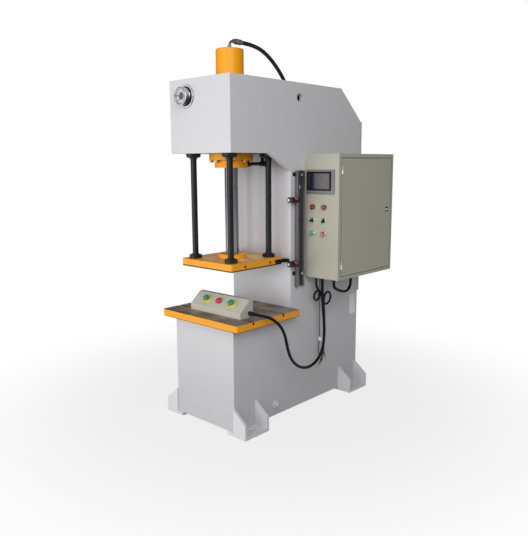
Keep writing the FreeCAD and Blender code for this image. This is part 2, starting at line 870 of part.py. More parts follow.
def platen():
    half_x = d.platen_width / 2
    half_y = d.platen_depth / 2
    plate = plate_z("platen", platen_under, d.platen_thick,
                    rectangle((-half_x, ram_y - half_y), (half_x, ram_y + half_y)))
    round_edges(plate, d.platen_corner, upright)
    holes = new_sketch(plate, "XY")
    draw_rod_circles(holes, d.rod_stub)
    cut_through(plate, holes)
    tools = new_sketch(plate, "XY")
    reach = d.tool_hole_pitch / 2
    for sx in (-1, 1):
        for sy in (-1, 1):
            draw_circle(tools, (sx * reach, ram_y + sy * reach), d.tool_hole)
    cut_deep(plate, tools, d.tool_hole_depth, back=True)
    for side in (-1, 1):
        sides = new_sketch(plate, "YZ", side * half_x)
        for end in (-1, 1):
            draw_circle(sides, (ram_y + end * d.side_hole_pitch / 2, d.platen_thick * 0.42), d.side_hole)
        cut_deep(plate, sides, 25, back=side < 0)
    return plate


def striker_arm():
    """A flat bar on the platen's side whose tip passes close to the sensors."""
    side = d.platen_width / 2
    f = d.front_face
    step = half_width - 5
    outline = [(side, f + d.y_striker), (side + d.striker_thick, f + d.y_striker),
               (side + d.striker_thick, f + d.striker_end - d.striker_tip),
               (step, f + d.striker_end - d.striker_tip), (step, f + d.striker_end),
               (side, f + d.striker_end)]
    keep(plate_z("striker_arm", d.striker_low, d.striker_high - d.striker_low, outline), "striker_arm")


# ---------------------------------------------------------------- sensors

def sensor_rail():
    """A lipped channel whose open side faces outwards."""
    y0 = d.front_face + d.y_rail
    y1 = y0 + d.rail_deep
    x0 = half_width + d.strap_thick
    x1 = x0 + d.rail_thick
    w = d.rail_wall
    lip = d.rail_lip
    outline = [(x0, y0), (x1, y0), (x1, y0 + lip), (x1 - w, y0 + lip), (x1 - w, y0 + w), (x0 + w, y0 + w),
               (x0 + w, y1 - w), (x1 - w, y1 - w), (x1 - w, y1 - lip), (x1, y1 - lip), (x1, y1), (x0, y1)]
    keep(plate_z("sensor_rail", d.rail_low, d.rail_high - d.rail_low, outline), "sensor_rail")

    straps = []
    for number, level in enumerate((d.strap_low_level, d.strap_high_level)):
        strap = box("rail_strap_%d" % number, (half_width, y0 - 18, level - d.strap_high / 2),
                    (d.strap_thick, d.rail_deep + 36, d.strap_high))
        parts = [strap]
        for end, y in enumerate((y0 - 9, y1 + 9)):
            parts.append(hexagon("strap_screw_%d_%d" % (number, end),
                                 (half_width + d.strap_thick, y, level), 13, 6, ALONG_X))
        straps.append(fuse("strap_%d" % number, parts))
    keep(gather("rail_straps", straps), "rail_straps")


def sensors():
    """Two clamp blocks on the rail's front edge, each holding a round sensor, with a domed clamp screw."""
    blocks = []
    knobs = []
    y0 = d.front_face + d.y_sensor
    y1 = d.front_face + d.y_rail
    x0 = half_width + 2
    for number, level in enumerate((d.sensor_low_level, d.sensor_high_level)):
        low = level - d.sensor_high / 2
        body = plate_z("sensor_block_%d" % number, low, d.sensor_high,
                       rectangle((x0, y0), (x0 + d.sensor_wide, y1)))
        round_edges(body, 3, lambda edge: runs_along(edge, Vector(0, 1, 0)))
        barrel = cylinder("sensor_barrel_%d" % number, (x0 + 14, y0 - 5, level),
                          d.sensor_barrel, 40, ALONG_Y)
        blocks.append(fuse("position_sensor_%d" % number, [body, barrel]))
        knob = new_body("clamp_knob_%d" % number,
                        (x0 + d.sensor_wide, (y0 + y1) / 2 - 5, level + 8), ALONG_X)
        half = d.knob_dia / 2
        revolve(knob, [(0, 0), (6, 0), (6, 4), (half, 4), (half, 12), (half - 3, 17), (half - 8, 20),
                       (0, 21)])
        knobs.append(knob)
    keep(gather("position_sensors", blocks), "position_sensors")
    keep(gather("clamp_knobs", knobs), "clamp_knobs")


# ---------------------------------------------------------------- pressure gauge

def gauge():
    """A panel gauge that stands out of the head: case with its wall flange, and a free pointer."""
    rim = d.gauge_case / 2
    proud = d.gauge_proud
    case = new_body("gauge_case", (d.gauge_x, d.front_face, d.gauge_level), TO_FRONT)
    revolve(case, [(0, -30), (d.gauge_hole / 2 - 2, -30), (d.gauge_hole / 2 - 2, 0), (d.gauge_flange / 2, 0),
                   (d.gauge_flange / 2, 4), (rim, 4), (rim, proud), (rim - 5, proud), (rim - 5, proud - 12),
                   (2, proud - 12), (2, proud - 7), (0, proud - 7)])
    keep(case, "gauge_case")
    pointer = plate_z("gauge_pointer", 0, 1, [(-2.5, -14), (2.5, -14), (1, 34), (-1, 34)])
    hole = draw_circle(new_sketch(pointer, "XY"), (0, 0), 4.1)
    boss = new_sketch(pointer, "XY")
    draw_circle(boss, (0, 0), 10)
    pad(pointer, boss, 2.4)
    cut_through(pointer, hole)
    put(pointer, (d.gauge_x, d.front_face - proud + 11, d.gauge_level),
        Rotation(Vector(0, 0, 1), 0) * TO_FRONT * Rotation(Vector(0, 0, 1), 135))
    keep(pointer, "gauge_pointer")


# ---------------------------------------------------------------- control cabinet

cabinet_y = d.front_face + d.y_cabinet
cabinet_x = half_width + d.cabinet_wide
cabinet_rear = cabinet_y + d.cabinet_depth
door_y0 = cabinet_y + d.door_rim_front
door_y1 = cabinet_rear - d.door_rim_rear
door_z0 = d.cabinet_low + d.door_rim_low
door_z1 = d.cabinet_high - d.door_rim_high
hinge_x = cabinet_x + d.hinge_dia / 2 + 0.3
hinge_y = door_y0 - 1


def cabinet_shell():
    """A folded sheet box with a door opening in its outer side and holes for the controls."""
    s = d.cabinet_sheet
    shell = plate_x("cabinet_shell", half_width, d.cabinet_wide,
                    rectangle((cabinet_y, d.cabinet_low), (cabinet_rear, d.cabinet_high)))
    room = draw_outline(new_sketch(shell, "YZ", s), rectangle(
        (cabinet_y + s, d.cabinet_low + s), (cabinet_rear - s, d.cabinet_high - s)))
    cut_deep(shell, room, d.cabinet_wide - 2 * s, back=True)
    doorway = draw_outline(new_sketch(shell, "YZ", d.cabinet_wide / 2), rectangle(
        (door_y0 - d.door_gap, door_z0 - d.door_gap), (door_y1 + d.door_gap, door_z1 + d.door_gap)))
    cut_deep(shell, doorway, d.cabinet_wide, back=True)
    fold = new_sketch(shell, "YZ", d.cabinet_wide - s)
    for grow in (d.door_gap, d.door_gap + s):
        draw_outline(fold, rectangle((door_y0 - grow, door_z0 - grow), (door_y1 + grow, door_z1 + grow)))
    pad(shell, fold, d.doorway_return, back=True)
    front = new_sketch(shell, "XZ", -cabinet_y - s / 2)
    draw_outline(front, rectangle(
        (d.panel_centre - d.panel_wide / 2 + 12, d.panel_level - d.panel_high / 2 + 10),
        (d.panel_centre + d.panel_wide / 2 - 12, d.panel_level + d.panel_high / 2 - 10)))
    for column in (0, 1):
        for row in (0, 1, 2):
            place = button_place(column, row)
            draw_circle(front, (place[0] - half_width, place[1]), d.button_hole)
    cut_deep(shell, front, s * 3)
    shell.Tip.Midplane = True
    keep(shell, "cabinet_shell")


def button_place(column, row):
    """Centre of a lamp (row 0), a selector (row 1) or a push button (row 2), as x and level."""
    return (half_width + d.button_column + column * d.button_pitch_x, d.lamp_level - row * d.button_pitch_z)


def cabinet_door():
    """A shallow pan that sits flush in the doorway and turns on two lift-off hinges."""
    s = d.cabinet_sheet
    door = plate_x("door_pan", cabinet_x - d.door_deep, d.door_deep,
                   rectangle((door_y0, door_z0), (door_y1, door_z1)))
    room = draw_outline(new_sketch(door, "YZ"), rectangle(
        (door_y0 + s, door_z0 + s), (door_y1 - s, door_z1 - s)))
    cut_deep(door, room, d.door_deep - s, back=True)
    lock = draw_circle(new_sketch(door, "YZ"), (door_y1 - d.lock_inset, d.lock_level), 20)
    cut_through(door, lock)
    parts = [door]
    pins = []
    bore = d.hinge_pin + 0.1
    for number, level in enumerate((d.hinge_low_level, d.hinge_high_level)):
        knuckle = cylinder("door_knuckle_%d" % number, (hinge_x, hinge_y, level + 0.5), d.hinge_dia,
                           d.hinge_knuckle)
        leaf = box("door_leaf_%d" % number, (cabinet_x, hinge_y, level + 0.5),
                   (4, 14, d.hinge_knuckle))
        eye = cylinder("door_eye_%d" % number, (hinge_x, hinge_y, level), bore, d.hinge_knuckle + 1)
        parts.append(cut("door_hinge_%d" % number, fuse("door_half_%d" % number, [knuckle, leaf]), eye))
        root = cylinder("fixed_knuckle_%d" % number, (hinge_x, hinge_y, level - d.hinge_knuckle),
                        d.hinge_dia, d.hinge_knuckle)
        wing = box("fixed_leaf_%d" % number, (cabinet_x, hinge_y - 14, level - d.hinge_knuckle),
                   (4, 14, d.hinge_knuckle))
        pin = cylinder("hinge_pin_%d" % number, (hinge_x, hinge_y, level - 5), d.hinge_pin,
                       d.hinge_knuckle + 4)
        pins.append(fuse("fixed_half_%d" % number, [root, wing, pin]))
    keep(fuse("cabinet_door_whole", parts), "cabinet_door")
    keep(gather("hinge_pins", pins), "hinge_pins")

    lock_y = door_y1 - d.lock_inset
    head = cylinder("lock_head", (cabinet_x, lock_y, d.lock_level), 28, 6, ALONG_X)
    barrel = cylinder("lock_barrel", (cabinet_x - d.door_deep - 6, lock_y, d.lock_level), 19.9,
                      d.door_deep + 8, ALONG_X)
    tongue = box("lock_tongue", (cabinet_x - d.door_deep - 6, lock_y - 8, d.lock_level - 56),
                 (3, 16, 64))
    slot = box("lock_slot", (cabinet_x + 3, lock_y - 2, d.lock_level - 8), (4, 4, 16))
    keep(cut("door_lock", fuse("lock_solid", [head, barrel, tongue]), slot), "door_lock")


def cabinet_controls():
    """Touch panel, lamps, selector switches and push buttons on the cabinet's narrow front."""
    panel = plate_y("panel_bezel", cabinet_y - d.panel_proud, d.panel_proud, rectangle(
        (panel_x - d.panel_wide / 2, d.panel_level - d.panel_high / 2),
        (panel_x + d.panel_wide / 2, d.panel_level + d.panel_high / 2)))
    round_edges(panel, 3, lambda edge: runs_along(edge, Vector(0, 1, 0)))
    window = draw_outline(new_sketch(panel, "XZ"), rectangle(
        (panel_x - 90, d.panel_level - 55), (panel_x + 90, d.panel_level + 55)))
    cut_deep(panel, window, 1.5)
    back = box("panel_back", (panel_x - d.panel_wide / 2 + 12.5, cabinet_y,
                              d.panel_level - d.panel_high / 2 + 10.5),
               (d.panel_wide - 25, d.panel_back, d.panel_high - 21))
    keep(fuse("touch_panel_whole", [panel, back]), "touch_panel")

    lamps = []
    collars = []
    for column in (0, 1):
        x, level = button_place(column, 0)
        lamp = new_body("signal_lamp_%d" % column, (x, cabinet_y, level), TO_FRONT)
        rim = d.button_collar / 2
        neck = d.button_hole / 2
        revolve(lamp, [(0, -42), (neck, -42), (neck, 0), (rim, 0), (rim, 5), (rim - 3, 7), (rim - 3, 13),
                       (rim - 6, 18), (0, 20)])
        lamps.append(lamp)
        for row in (1, 2):
            collars.append(button_collar("collar_%d_%d" % (column, row), button_place(column, row)))
    keep(gather("signal_lamps", lamps), "signal_lamps")
    keep(gather("button_collars", collars), "button_collars")

    for name, column, slant in (("selector_left", 0, -60), ("selector_right", 1, 45)):
        x, level = button_place(column, 1)
        cap = d.button_cap / 2 - 0.2
        knob = new_body(name + "_stem", (x, cabinet_y, level), TO_FRONT)
        revolve(knob, [(0, -8), (cap, -8), (cap, 12), (0, 12)])
        turn = Rotation(Vector(0, 1, 0), slant)
        corner = turn * Vector(-4, 0, 1 - cap.value)
        grip = box(name + "_grip", (0, 0, 0), (8, 11, cap * 2 - 2))
        put(grip, (x + corner.x, cabinet_y - 22, level + corner.z), turn)
        keep(fuse(name, [knob, grip]), name)
    for name, column in (("start_button", 0), ("stop_button", 1)):
        x, level = button_place(column, 2)
        cap = d.button_cap / 2
        button = new_body(name, (x, cabinet_y, level), TO_FRONT)
        head = d.button_head / 2
        revolve(button, [(0, -6), (cap, -6), (cap, 12), (head, 12), (head, 18), (head - 2, 20), (0, 20)])
        keep(button, name)


def button_collar(name, place):
    """A threaded collar with a bore for its cap and a solid contact block behind."""
    rim = d.button_collar / 2
    neck = d.button_hole / 2
    bore = d.button_cap / 2 + d.sliding_gap
    collar = new_body(name, (place[0], cabinet_y, place[1]), TO_FRONT)
    return revolve(collar, [(0, -42), (neck, -42), (neck, 0), (rim, 0), (rim, 6), (rim - 1.5, 7.5),
                            (bore, 7.5), (bore, -14), (0, -14)])


def switchgear():
    """Mounting plate on four pillars, with rows of switchgear on rails."""
    y0 = cabinet_y + 40
    y1 = cabinet_rear - 40
    z0 = d.cabinet_low + 40
    z1 = d.cabinet_high - 40
    back = half_width + d.cabinet_sheet
    plate = box("mounting_sheet", (back + 12, y0, z0), (2, y1 - y0, z1 - z0))
    parts = [plate]
    for number, (y, z) in enumerate(((y0 + 20, z0 + 20), (y1 - 20, z0 + 20), (y0 + 20, z1 - 20),
                                     (y1 - 20, z1 - 20))):
        parts.append(cylinder("pillar_%d" % number, (back, y, z), 12, 13, ALONG_X))
    keep(fuse("mounting_plate", parts), "mounting_plate")

    gear = []
    face = back + 14
    rows = (("supply", z1 - 130, ((40, 90, 110, 70), (150, 60, 100, 75), (230, 130, 100, 60))),
            ("contactor", z1 - 330, ((40, 46, 80, 80), (92, 46, 80, 80), (144, 46, 80, 80), (220, 150, 110, 70))),
            ("terminal", z1 - 560, ((40, 400, 50, 45),)))
    for name, level, blocks in rows:
        rail = box(name + "_rail", (face, y0 + 20, level - 17), (8, y1 - y0 - 40, 35))
        gear.append(rail)
        for number, (start, wide, high, deep) in enumerate(blocks):
            gear.append(box("%s_%d" % (name, number), (face + 8, y0 + start, level - high / 2),
                            (deep, wide, high)))
    keep(gather("switchgear", gear), "switchgear")


# ---------------------------------------------------------------- two-hand console

def console():
    """A folded sheet box with a short upright lip, a sloped panel and a flat top."""
    s = d.console_sheet
    lip = d.console_lip
    deep = d.console_slope_deep
    high = lip + d.console_slope_high
    back = deep + d.console_flat
    left = d.console_x - d.console_wide / 2
    shell = plate_x("console_box", left, d.console_wide,
                    console_outline(0, lip, deep, high, back, 0))
    put(shell, (left, d.front_face + d.y_console, table_top))
    room = draw_outline(new_sketch(shell, "YZ", s),
                        console_outline(s, lip - s * 0.4, deep - s * 0.2, high - s, back - s, 0))
    cut_deep(shell, room, d.console_wide - 2 * s, back=True)
    exit_hole = draw_circle(new_sketch(shell, "YZ", d.console_wide), (CONSOLE_EXIT[0], CONSOLE_EXIT[1]), 20)
    cut_deep(shell, exit_hole, s * 2)
    tilt = math.atan2(d.console_slope_high.value, d.console_slope_deep.value)
    facing = Rotation(Vector(1, 0, 0), math.degrees(tilt))
    behind_y = 10 * math.sin(tilt)
    behind_z = 10 * math.cos(tilt)
    names = (("console_left_button", -1), ("console_stop_button", 0), ("console_right_button", 1))
    middle_y = d.front_face + d.y_console + deep / 2
    middle_z = table_top + lip + d.console_slope_high / 2
    holes = []
    collars = []
    for name, side in names:
        x = d.console_x + side * d.console_pitch / 2
        at = (x, middle_y, middle_z)
        holes.append(cylinder(name + "_hole", (x, middle_y + behind_y, middle_z - behind_z),
                              d.button_hole, 20, facing))
        disc = d.console_disc if side else d.button_collar
        collars.append(console_collar(name + "_collar", at, facing, disc))
        cap = d.console_cap / 2
        rise = 27 if side else 22
        stem = d.button_cap / 2
        button = new_body(name, at, facing)
        revolve(button, [(0, -10), (stem, -10), (stem, rise - 13), (cap - 1, rise - 13), (cap, rise - 11),
                         (cap, rise - 5), (cap - 4, rise - 1.5), (cap - 10, rise), (0, rise)])
        keep(button, name)
    keep(cut("console_shell_holed", shell, fuse("console_holes", holes)), "console_shell")
    keep(gather("console_collars", collars), "console_collars")


def console_collar(name, at, facing, diameter):
    """A collar with a wide disc under the cap and a solid contact block behind the panel."""
    bore = d.button_cap / 2 + d.sliding_gap
    neck = d.button_hole / 2
    collar = new_body(name, at, facing)
    return revolve(collar, [(0, -30), (neck, -30), (neck, 0), (as_size(diameter) / 2, 0),
                            (as_size(diameter) / 2, 2), (bore + 3, 2), (bore + 3, 3), (bore, 3), (bore, -18),
                            (0, -18)])


CONSOLE_EXIT = (74, 26)


def console_outline(front, lip, deep, high, back, floor):
    return [(front, floor), (front, lip), (deep, high), (back, high), (back, floor)]


# ---------------------------------------------------------------- cables

# Free cables, as x, y from the head's front face and height above the floor, all chosen by hand.
TWO_HAND_ROUTE = [(268, 148, 702), (322, 148, 702), (368, 183, 690), (390, 236, 644), (390, 282, 578),
                  (386, 306, 502), (380, 340, 424), (373, 398, 360), (367, 478, 317), (361, 564, 305),
                  (357, 644, 332), (354, 695, 392), (354, 709, 476), (353, 706, 572), (350, 695, 668),
                  (347, 692, 752), (347, 692, 829)]
MAINS_START = [(291, 700, 829), (291, 700, 803), (289, 709, 780), (288, 726, 761)]
MAINS_END = [(333, 728, 702), (337, 724, 664), (339, 727, 606), (334, 735, 536), (326, 742, 456), (321, 745, 372)]
LOOP_ROUTE = [(427, 703, 829), (427, 703, 809), (427, 711, 790), (426, 730, 775), (424, 762, 762),
              (421, 797, 752), (417, 833, 747), (413, 866, 749), (409, 892, 761), (406, 909, 779),
              (405, 916, 804), (405, 916, 829)]
EARTH_ROUTE = [(264, 775, 845), (262, 776, 640), (265, 775, 440), (258, 776, 380), (259, 775, 318)]

# The two loops of the mains cable: centre at the start and at the end, radius at both,
# horizontal heading, first angle and swept angle in degrees, and number of steps.
MAINS_LOOPS = [((288, 705, 728), (305, 704, 727), 32, 32, (0, 1), 25, -378, 10),
               ((311, 776, 703), (328, 773, 704), 40, 40, (0, 1), 198, 305, 9)]


def loop_points(first_centre, last_centre, first_radius, last_radius, heading, angle, sweep, steps):
    """Corners round a drifting circle, far enough out for the tube to follow the circle."""
    step = math.radians(sweep / steps)
    points = []
    for number in range(steps + 1):
        share = number / steps
        turn = math.radians(angle) + step * number
        reach = (first_radius + (last_radius - first_radius) * share) / math.cos(step / 2)
        centre = [a + (b - a) * share for a, b in zip(first_centre, last_centre)]
        points.append((centre[0] + reach * math.cos(turn) * heading[0],
                       centre[1] + reach * math.cos(turn) * heading[1],
                       centre[2] + reach * math.sin(turn)))
    return points


def mains_route():
    route = list(MAINS_START)
    for loop in MAINS_LOOPS:
        route += loop_points(*loop)
    return route + MAINS_END


def least_gap(shape_points, diameter):
    """The least clear distance between parts of one cable that are not neighbours along it."""
    spots = []
    for a, b in zip(shape_points, shape_points[1:]):
        a = Vector(*a)
        b = Vector(*b)
        spots += [a + (b - a) * (number / 8) for number in range(8)]
    along = [0.0]
    for a, b in zip(spots, spots[1:]):
        along.append(along[-1] + (b - a).Length)
    gaps = [(spots[i] - spots[j]).Length for i in range(len(spots)) for j in range(i)
            if along[i] - along[j] > 5 * diameter]
    return min(gaps) - diameter


# Each lead leaves the cable's end face at a place on it, then passes two more points beyond the end.
LEAD_TIPS = [((-3.8, 0), (-13, 2, -60), (-36, 4, -114)), ((3.8, 0), (2, -2, -58), (-15, -5, -104)),
             ((0, 3.8), (8, 9, -40), (14, 14, -62)), ((0, -3.8), (-2, -10, -48), (-5, -16, -80))]
COPPER_LENGTH = 26


def cables():
    base = (0, d.front_face, 0)
    keep(tube("two_hand_cable", TWO_HAND_ROUTE, d.two_hand_dia, base), "two_hand_cable")
    keep(tube("mains_cable", mains_route(), d.mains_dia, base), "mains_cable")
    print("mains_cable least gap to itself %.1f" % least_gap(mains_route(), d.mains_dia.value))
    keep(tube("loop_cable", LOOP_ROUTE, d.loop_dia, base), "loop_cable")
    wire = tube("earth_wire", EARTH_ROUTE, d.earth_dia, base)
    marker = box("wire_marker", (267.3, d.front_face + 773.5, 408), (18, 3, 26))
    keep(gather("earth_lead", [wire, marker]), "earth_lead")

    leads = []
    end = Vector(*MAINS_END[-1]) + Vector(0, d.front_face.value, 0)
    along = (Vector(*MAINS_END[-1]) - Vector(*MAINS_END[-2])).normalize()
    aside = along.cross(Vector(0, 1, 0)).normalize()
    behind = aside.cross(along)
    for number, (place, middle, tip) in enumerate(LEAD_TIPS):
        start = end + aside * place[0] + behind * place[1]
        points = [start, start + along * 18, end + Vector(*middle), end + Vector(*tip)]
        lead = doc.addObject("Part::Feature", "lead_%d" % number)
        lead.Shape = tube_shape("lead_%d" % number, points, d.lead_dia.value)
        heading = (points[-1] - points[-2]).normalize()
        copper = doc.addObject("Part::Feature", "copper_%d" % number)
        copper.Shape = Part.makeCylinder(d.copper_dia.value / 2, COPPER_LENGTH, points[-1], heading)
        leads.append(fuse("lead_whole_%d" % number, [lead, copper]))
    keep(gather("mains_leads", leads), "mains_leads")


def cable_glands():
    """Glands under the cabinet and in the console's side, each with a domed nut."""
    f = d.front_face
    made = []
    for name, x, y, cable, level in (("two_hand", 347, 692, d.two_hand_dia, d.cabinet_low),
                                     ("mains", 291, 700, d.mains_dia, d.cabinet_low),
                                     ("loop_front", 427, 703, d.loop_dia, d.cabinet_low),
                                     ("loop_rear", 405, 916, d.loop_dia, d.cabinet_low),
                                     ("earth", 264, 775, d.earth_dia, d.cabinet_low)):
        drop = d.gland_drop if name != "earth" else 12
        half = cable / 2
        gland = new_body("gland_" + name, (x, f + y, level - drop))
        revolve(gland, [(0, 0), (half + 2, 0), (half + 5, drop * 0.35), (half + 5, drop), (0, drop)])
        made.append(gland)
    half = d.two_hand_dia / 2
    side = new_body("gland_console", (d.console_x + d.console_wide / 2, f + d.y_console + CONSOLE_EXIT[0],
                                      table_top + CONSOLE_EXIT[1]), ALONG_X)
    revolve(side, [(0, -8), (9.8, -8), (9.8, 0), (half + 6, 0), (half + 6, 20), (half + 1.5, 34), (0, 34)])
    made.append(side)
    keep(gather("cable_glands", made), "cable_glands")


# ---------------------------------------------------------------- build and write

def check_and_write():
    """Stops on any failed object or empty cut, then writes one file for each node."""
    doc.recompute()
    for thing in doc.Objects:
        failed = [word for word in thing.State if word in ("Invalid", "Error")]
        if failed:
            raise RuntimeError("failed object " + thing.Name + " " + thing.getStatusString())
        if thing.TypeId == "PartDesign::Pocket":
            if thing.Shape.Volume > thing.BaseFeature.Shape.Volume - 1e-3:
                raise RuntimeError("empty cut " + thing.Name)
    os.makedirs("parts", exist_ok=True)
    for thing in nodes:
        shape = thing.Shape
        if shape.isNull() or not shape.isValid() or not shape.Solids:
            raise RuntimeError("bad shape " + thing.Label)
        shape.exportStep("parts/" + thing.Label + ".step")
    print("nodes", len(nodes), "solids", sum(len(thing.Shape.Solids) for thing in nodes))


side_plates()
head_plates()
column_and_base()
rear_wall()
rear_cover()
feet()
work_table()
drain_plug()
cylinder_parts()
hydraulic_lines()
guide_bushes()
power_unit()
slide()
striker_arm()
sensor_rail()
sensors()
gauge()
cabinet_shell()
cabinet_door()
cabinet_controls()
switchgear()
console()
cables()
cable_glands()
check_and_write()
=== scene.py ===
# %% [markdown]
# # A floor-standing hydraulic press
# The press comes as a packed construction model: every plate, rod and button is already a mesh in
# metres, with its place in its vertices. This lesson adds what a construction model leaves plain.
# First come the camera and the finishes, then the cables and the small fittings piece by piece, and at
# last the floor and the light.

# %% Load the construction model
from math import cos, pi, radians, sin, sqrt
import bmesh
import bpy
from mathutils import Matrix, Vector


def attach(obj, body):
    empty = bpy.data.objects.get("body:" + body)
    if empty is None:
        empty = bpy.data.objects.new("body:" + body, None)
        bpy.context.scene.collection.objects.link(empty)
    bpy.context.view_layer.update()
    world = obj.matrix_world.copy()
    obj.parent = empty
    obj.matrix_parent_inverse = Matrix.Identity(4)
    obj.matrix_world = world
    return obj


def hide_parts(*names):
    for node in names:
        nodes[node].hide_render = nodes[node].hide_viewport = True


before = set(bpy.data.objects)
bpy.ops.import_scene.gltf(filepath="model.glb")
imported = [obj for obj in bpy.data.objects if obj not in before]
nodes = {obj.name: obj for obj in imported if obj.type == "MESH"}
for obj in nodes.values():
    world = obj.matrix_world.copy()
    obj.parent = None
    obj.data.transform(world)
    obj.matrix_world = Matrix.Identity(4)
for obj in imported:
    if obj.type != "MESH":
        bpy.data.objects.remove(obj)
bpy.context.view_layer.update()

# %% [markdown]
# The press stands on the floor with its front towards -Y. Its drawing measures depth from the
# front face of the head, so a place is written as x, depth and height in millimetres, and one
# small helper turns that into a point of the model in metres. A second one puts a new object into
# the scene, since Blender doesn't show an object that no collection holds.

# %% Places and objects
FACE = -0.600


def at(x, depth, height):
    return Vector((x / 1000, FACE + depth / 1000, height / 1000))


def placed(name, data):
    """A new object with this mesh, curve, lamp or lens, linked to the scene."""
    thing = bpy.data.objects.new(name, data)
    bpy.context.scene.collection.objects.link(thing)
    return thing


print("front face of the head", at(0, 0, 2030)[:])

# %% [markdown]
# A photograph of a tall machine is taken from a few metres away, a little above the middle of it.
# The camera's place, its turn and its tilt were solved from the long edges of the frame, so that
# each corner of the model falls on the same corner in the picture.

# %% Camera
SENSOR = 36.0
FOCUS_PIXELS, PICTURE_HIGH = 615.9, 536.0
CAMERA_PLACE = (2.6596, -2.9436, 1.5537)
TURN, TILT, ROLL = 42.81, 80.43, -0.29


def turned_about(axis, degrees):
    return Matrix.Rotation(radians(degrees), 4, axis)


lens = bpy.data.cameras.new("camera")
lens.sensor_fit = "VERTICAL"
lens.sensor_height = SENSOR
lens.lens = SENSOR * FOCUS_PIXELS / PICTURE_HIGH
camera = placed("camera", lens)
aim = turned_about("Z", TURN) @ turned_about("X", TILT) @ turned_about("Z", ROLL)
camera.matrix_world = Matrix.Translation(CAMERA_PLACE) @ aim
bpy.context.scene.camera = camera
print("lens", round(lens.lens, 2))

# %% [markdown]
# Materials could be wired by hand, but a formula says more in one line. So a wire here is the output
# of one shader node, and adding or multiplying wires adds the Math nodes that do it.

# %% Shader wires


class Wire:
    """One output of a node. Arithmetic on it adds Math nodes."""

    def __init__(self, finish, socket):
        self.finish, self.socket = finish, socket

    def math(self, operation, *values):
        return self.finish.node("Math", {"operation": operation}, dict(enumerate(values)))

    def __add__(self, other):
        return self.math("ADD", self, other)

    def __radd__(self, other):
        return self.math("ADD", other, self)

    def __sub__(self, other):
        return self.math("SUBTRACT", self, other)

    def __rsub__(self, other):
        return self.math("SUBTRACT", other, self)

    def __mul__(self, other):
        return self.math("MULTIPLY", self, other)

    def __rmul__(self, other):
        return self.math("MULTIPLY", other, self)

    def __abs__(self):
        return self.math("ABSOLUTE", self)

    def least(self, other):
        return self.math("MINIMUM", self, other)

    def most(self, other):
        return self.math("MAXIMUM", self, other)

    def rise(self, low, high):
        """0 below low, 1 above high, and a smooth step between them."""
        return self.finish.node("MapRange", {"interpolation_type": "SMOOTHSTEP"},
                                {0: self, 1: low, 2: high, 3: 0.0, 4: 1.0})


print("wires ready")

# %% [markdown]
# A finish is one material. A single method makes any other node, and a few short recipes follow that
# most finishes share: a noise, a mix of two colours, a mask for worn edges, and a bump that also
# rounds sharp edges a little, because no real edge is perfectly sharp.

# %% Finishes
WORN_REACH, PAINT_EDGE, METAL_EDGE, MOULDED_EDGE = 0.0016, 0.0012, 0.0006, 0.0008


class Finish:
    """A material with one Principled shader. Constants go straight onto its sockets."""

    def __init__(self, name, **constants):
        self.material = bpy.data.materials.new(name)
        self.material.use_nodes = True
        self.tree = self.material.node_tree
        self.shader = self.tree.nodes["Principled BSDF"]
        for key, value in constants.items():
            self.shader.inputs[key.replace("_", " ")].default_value = value

    def node(self, kind, settings=None, values=None, out=0):
        made = self.tree.nodes.new("ShaderNode" + kind)
        for key, value in (settings or {}).items():
            setattr(made, key, value)
        for key, value in (values or {}).items():
            socket = made.inputs[key]
            if isinstance(value, Wire):
                self.tree.links.new(value.socket, socket)
            elif socket.type == "RGBA":
                socket.default_value = (*value, 1)
            else:
                socket.default_value = value
        return Wire(self, made.outputs[out])

    def feed(self, **wires):
        for key, value in wires.items():
            self.tree.links.new(value.socket, self.shader.inputs[key.replace("_", " ")])

    def spot(self, stretch=None):
        """The place on the press in metres, multiplied by the stretch along each axis."""
        place = self.node("TexCoord", out="Object")
        if stretch is None:
            return place
        return self.node("Mapping", {"vector_type": "POINT"}, {"Vector": place, "Scale": stretch})

    def axis(self, vector, name):
        return self.node("SeparateXYZ", values={0: vector}, out=name)

    def noise(self, where, scale, detail=2.0, rough=0.5):
        return self.node("TexNoise", values={"Vector": where, "Scale": scale, "Detail": detail,
                                             "Roughness": rough})

    def specks(self, where):
        """Faint blots, two or three centimetres wide."""
        return self.noise(where, 38, 4, 0.6)

    def peel(self, where):
        """The skin of sprayed paint, three millimetres wide."""
        return self.noise(where, 330, 2)

    def stir(self, share, first, second):
        """The first colour where share is 0, the second where it is 1."""
        return self.node("Mix", {"data_type": "RGBA"}, {0: share, 6: first, 7: second}, out=2)

    def tint(self, colour, tone):
        """A colour made lighter or darker by a number."""
        return self.node("VectorMath", {"operation": "SCALE"}, {0: colour, "Scale": tone})

    def rounded(self, reach):
        """The normal that edges rounded by the reach would have."""
        return self.node("Bevel", {"samples": 4}, {0: reach})

    def edge(self):
        """More than 0 along sharp edges, where the rounded and the plain normal differ."""
        plain = self.node("NewGeometry", out="Normal")
        return 1 - self.node("VectorMath", {"operation": "DOT_PRODUCT"},
                             {0: self.rounded(WORN_REACH), 1: plain}, out="Value")

    def bump(self, height, distance, round_edges):
        return self.node("Bump", values={"Height": height, "Distance": distance, "Strength": 1.0,
                                         "Normal": self.rounded(round_edges)})


print("finish recipes ready")

# %% [markdown]
# Most of the press is welded plate with a satin light grey powder coat. Powder coat has three
# scales: a slow drift of tone over half a metre, a faint orange peel a few millimetres wide, and
# edges where the coat is thin. The drift goes to colour and roughness, the edges to colour, and the
# peel to the bump. The frame is also a little darker near the floor, where dust and hands meet it.

# %% Painted finishes
DRIFT = 0.05
DUST, DUST_FROM, DUST_TO = (0.22, 0.21, 0.215), 0.05, 0.75
# The next colour is painted shade along the gap round the cabinet door.
GAP_SHADE = (0.060, 0.055, 0.045)
DOOR_DEPTH, DOOR_LEVEL, DOOR_FACE = 932, 1.233, 0.489
DOOR_HALF_WIDE, DOOR_HALF_HIGH = 0.272, 0.355


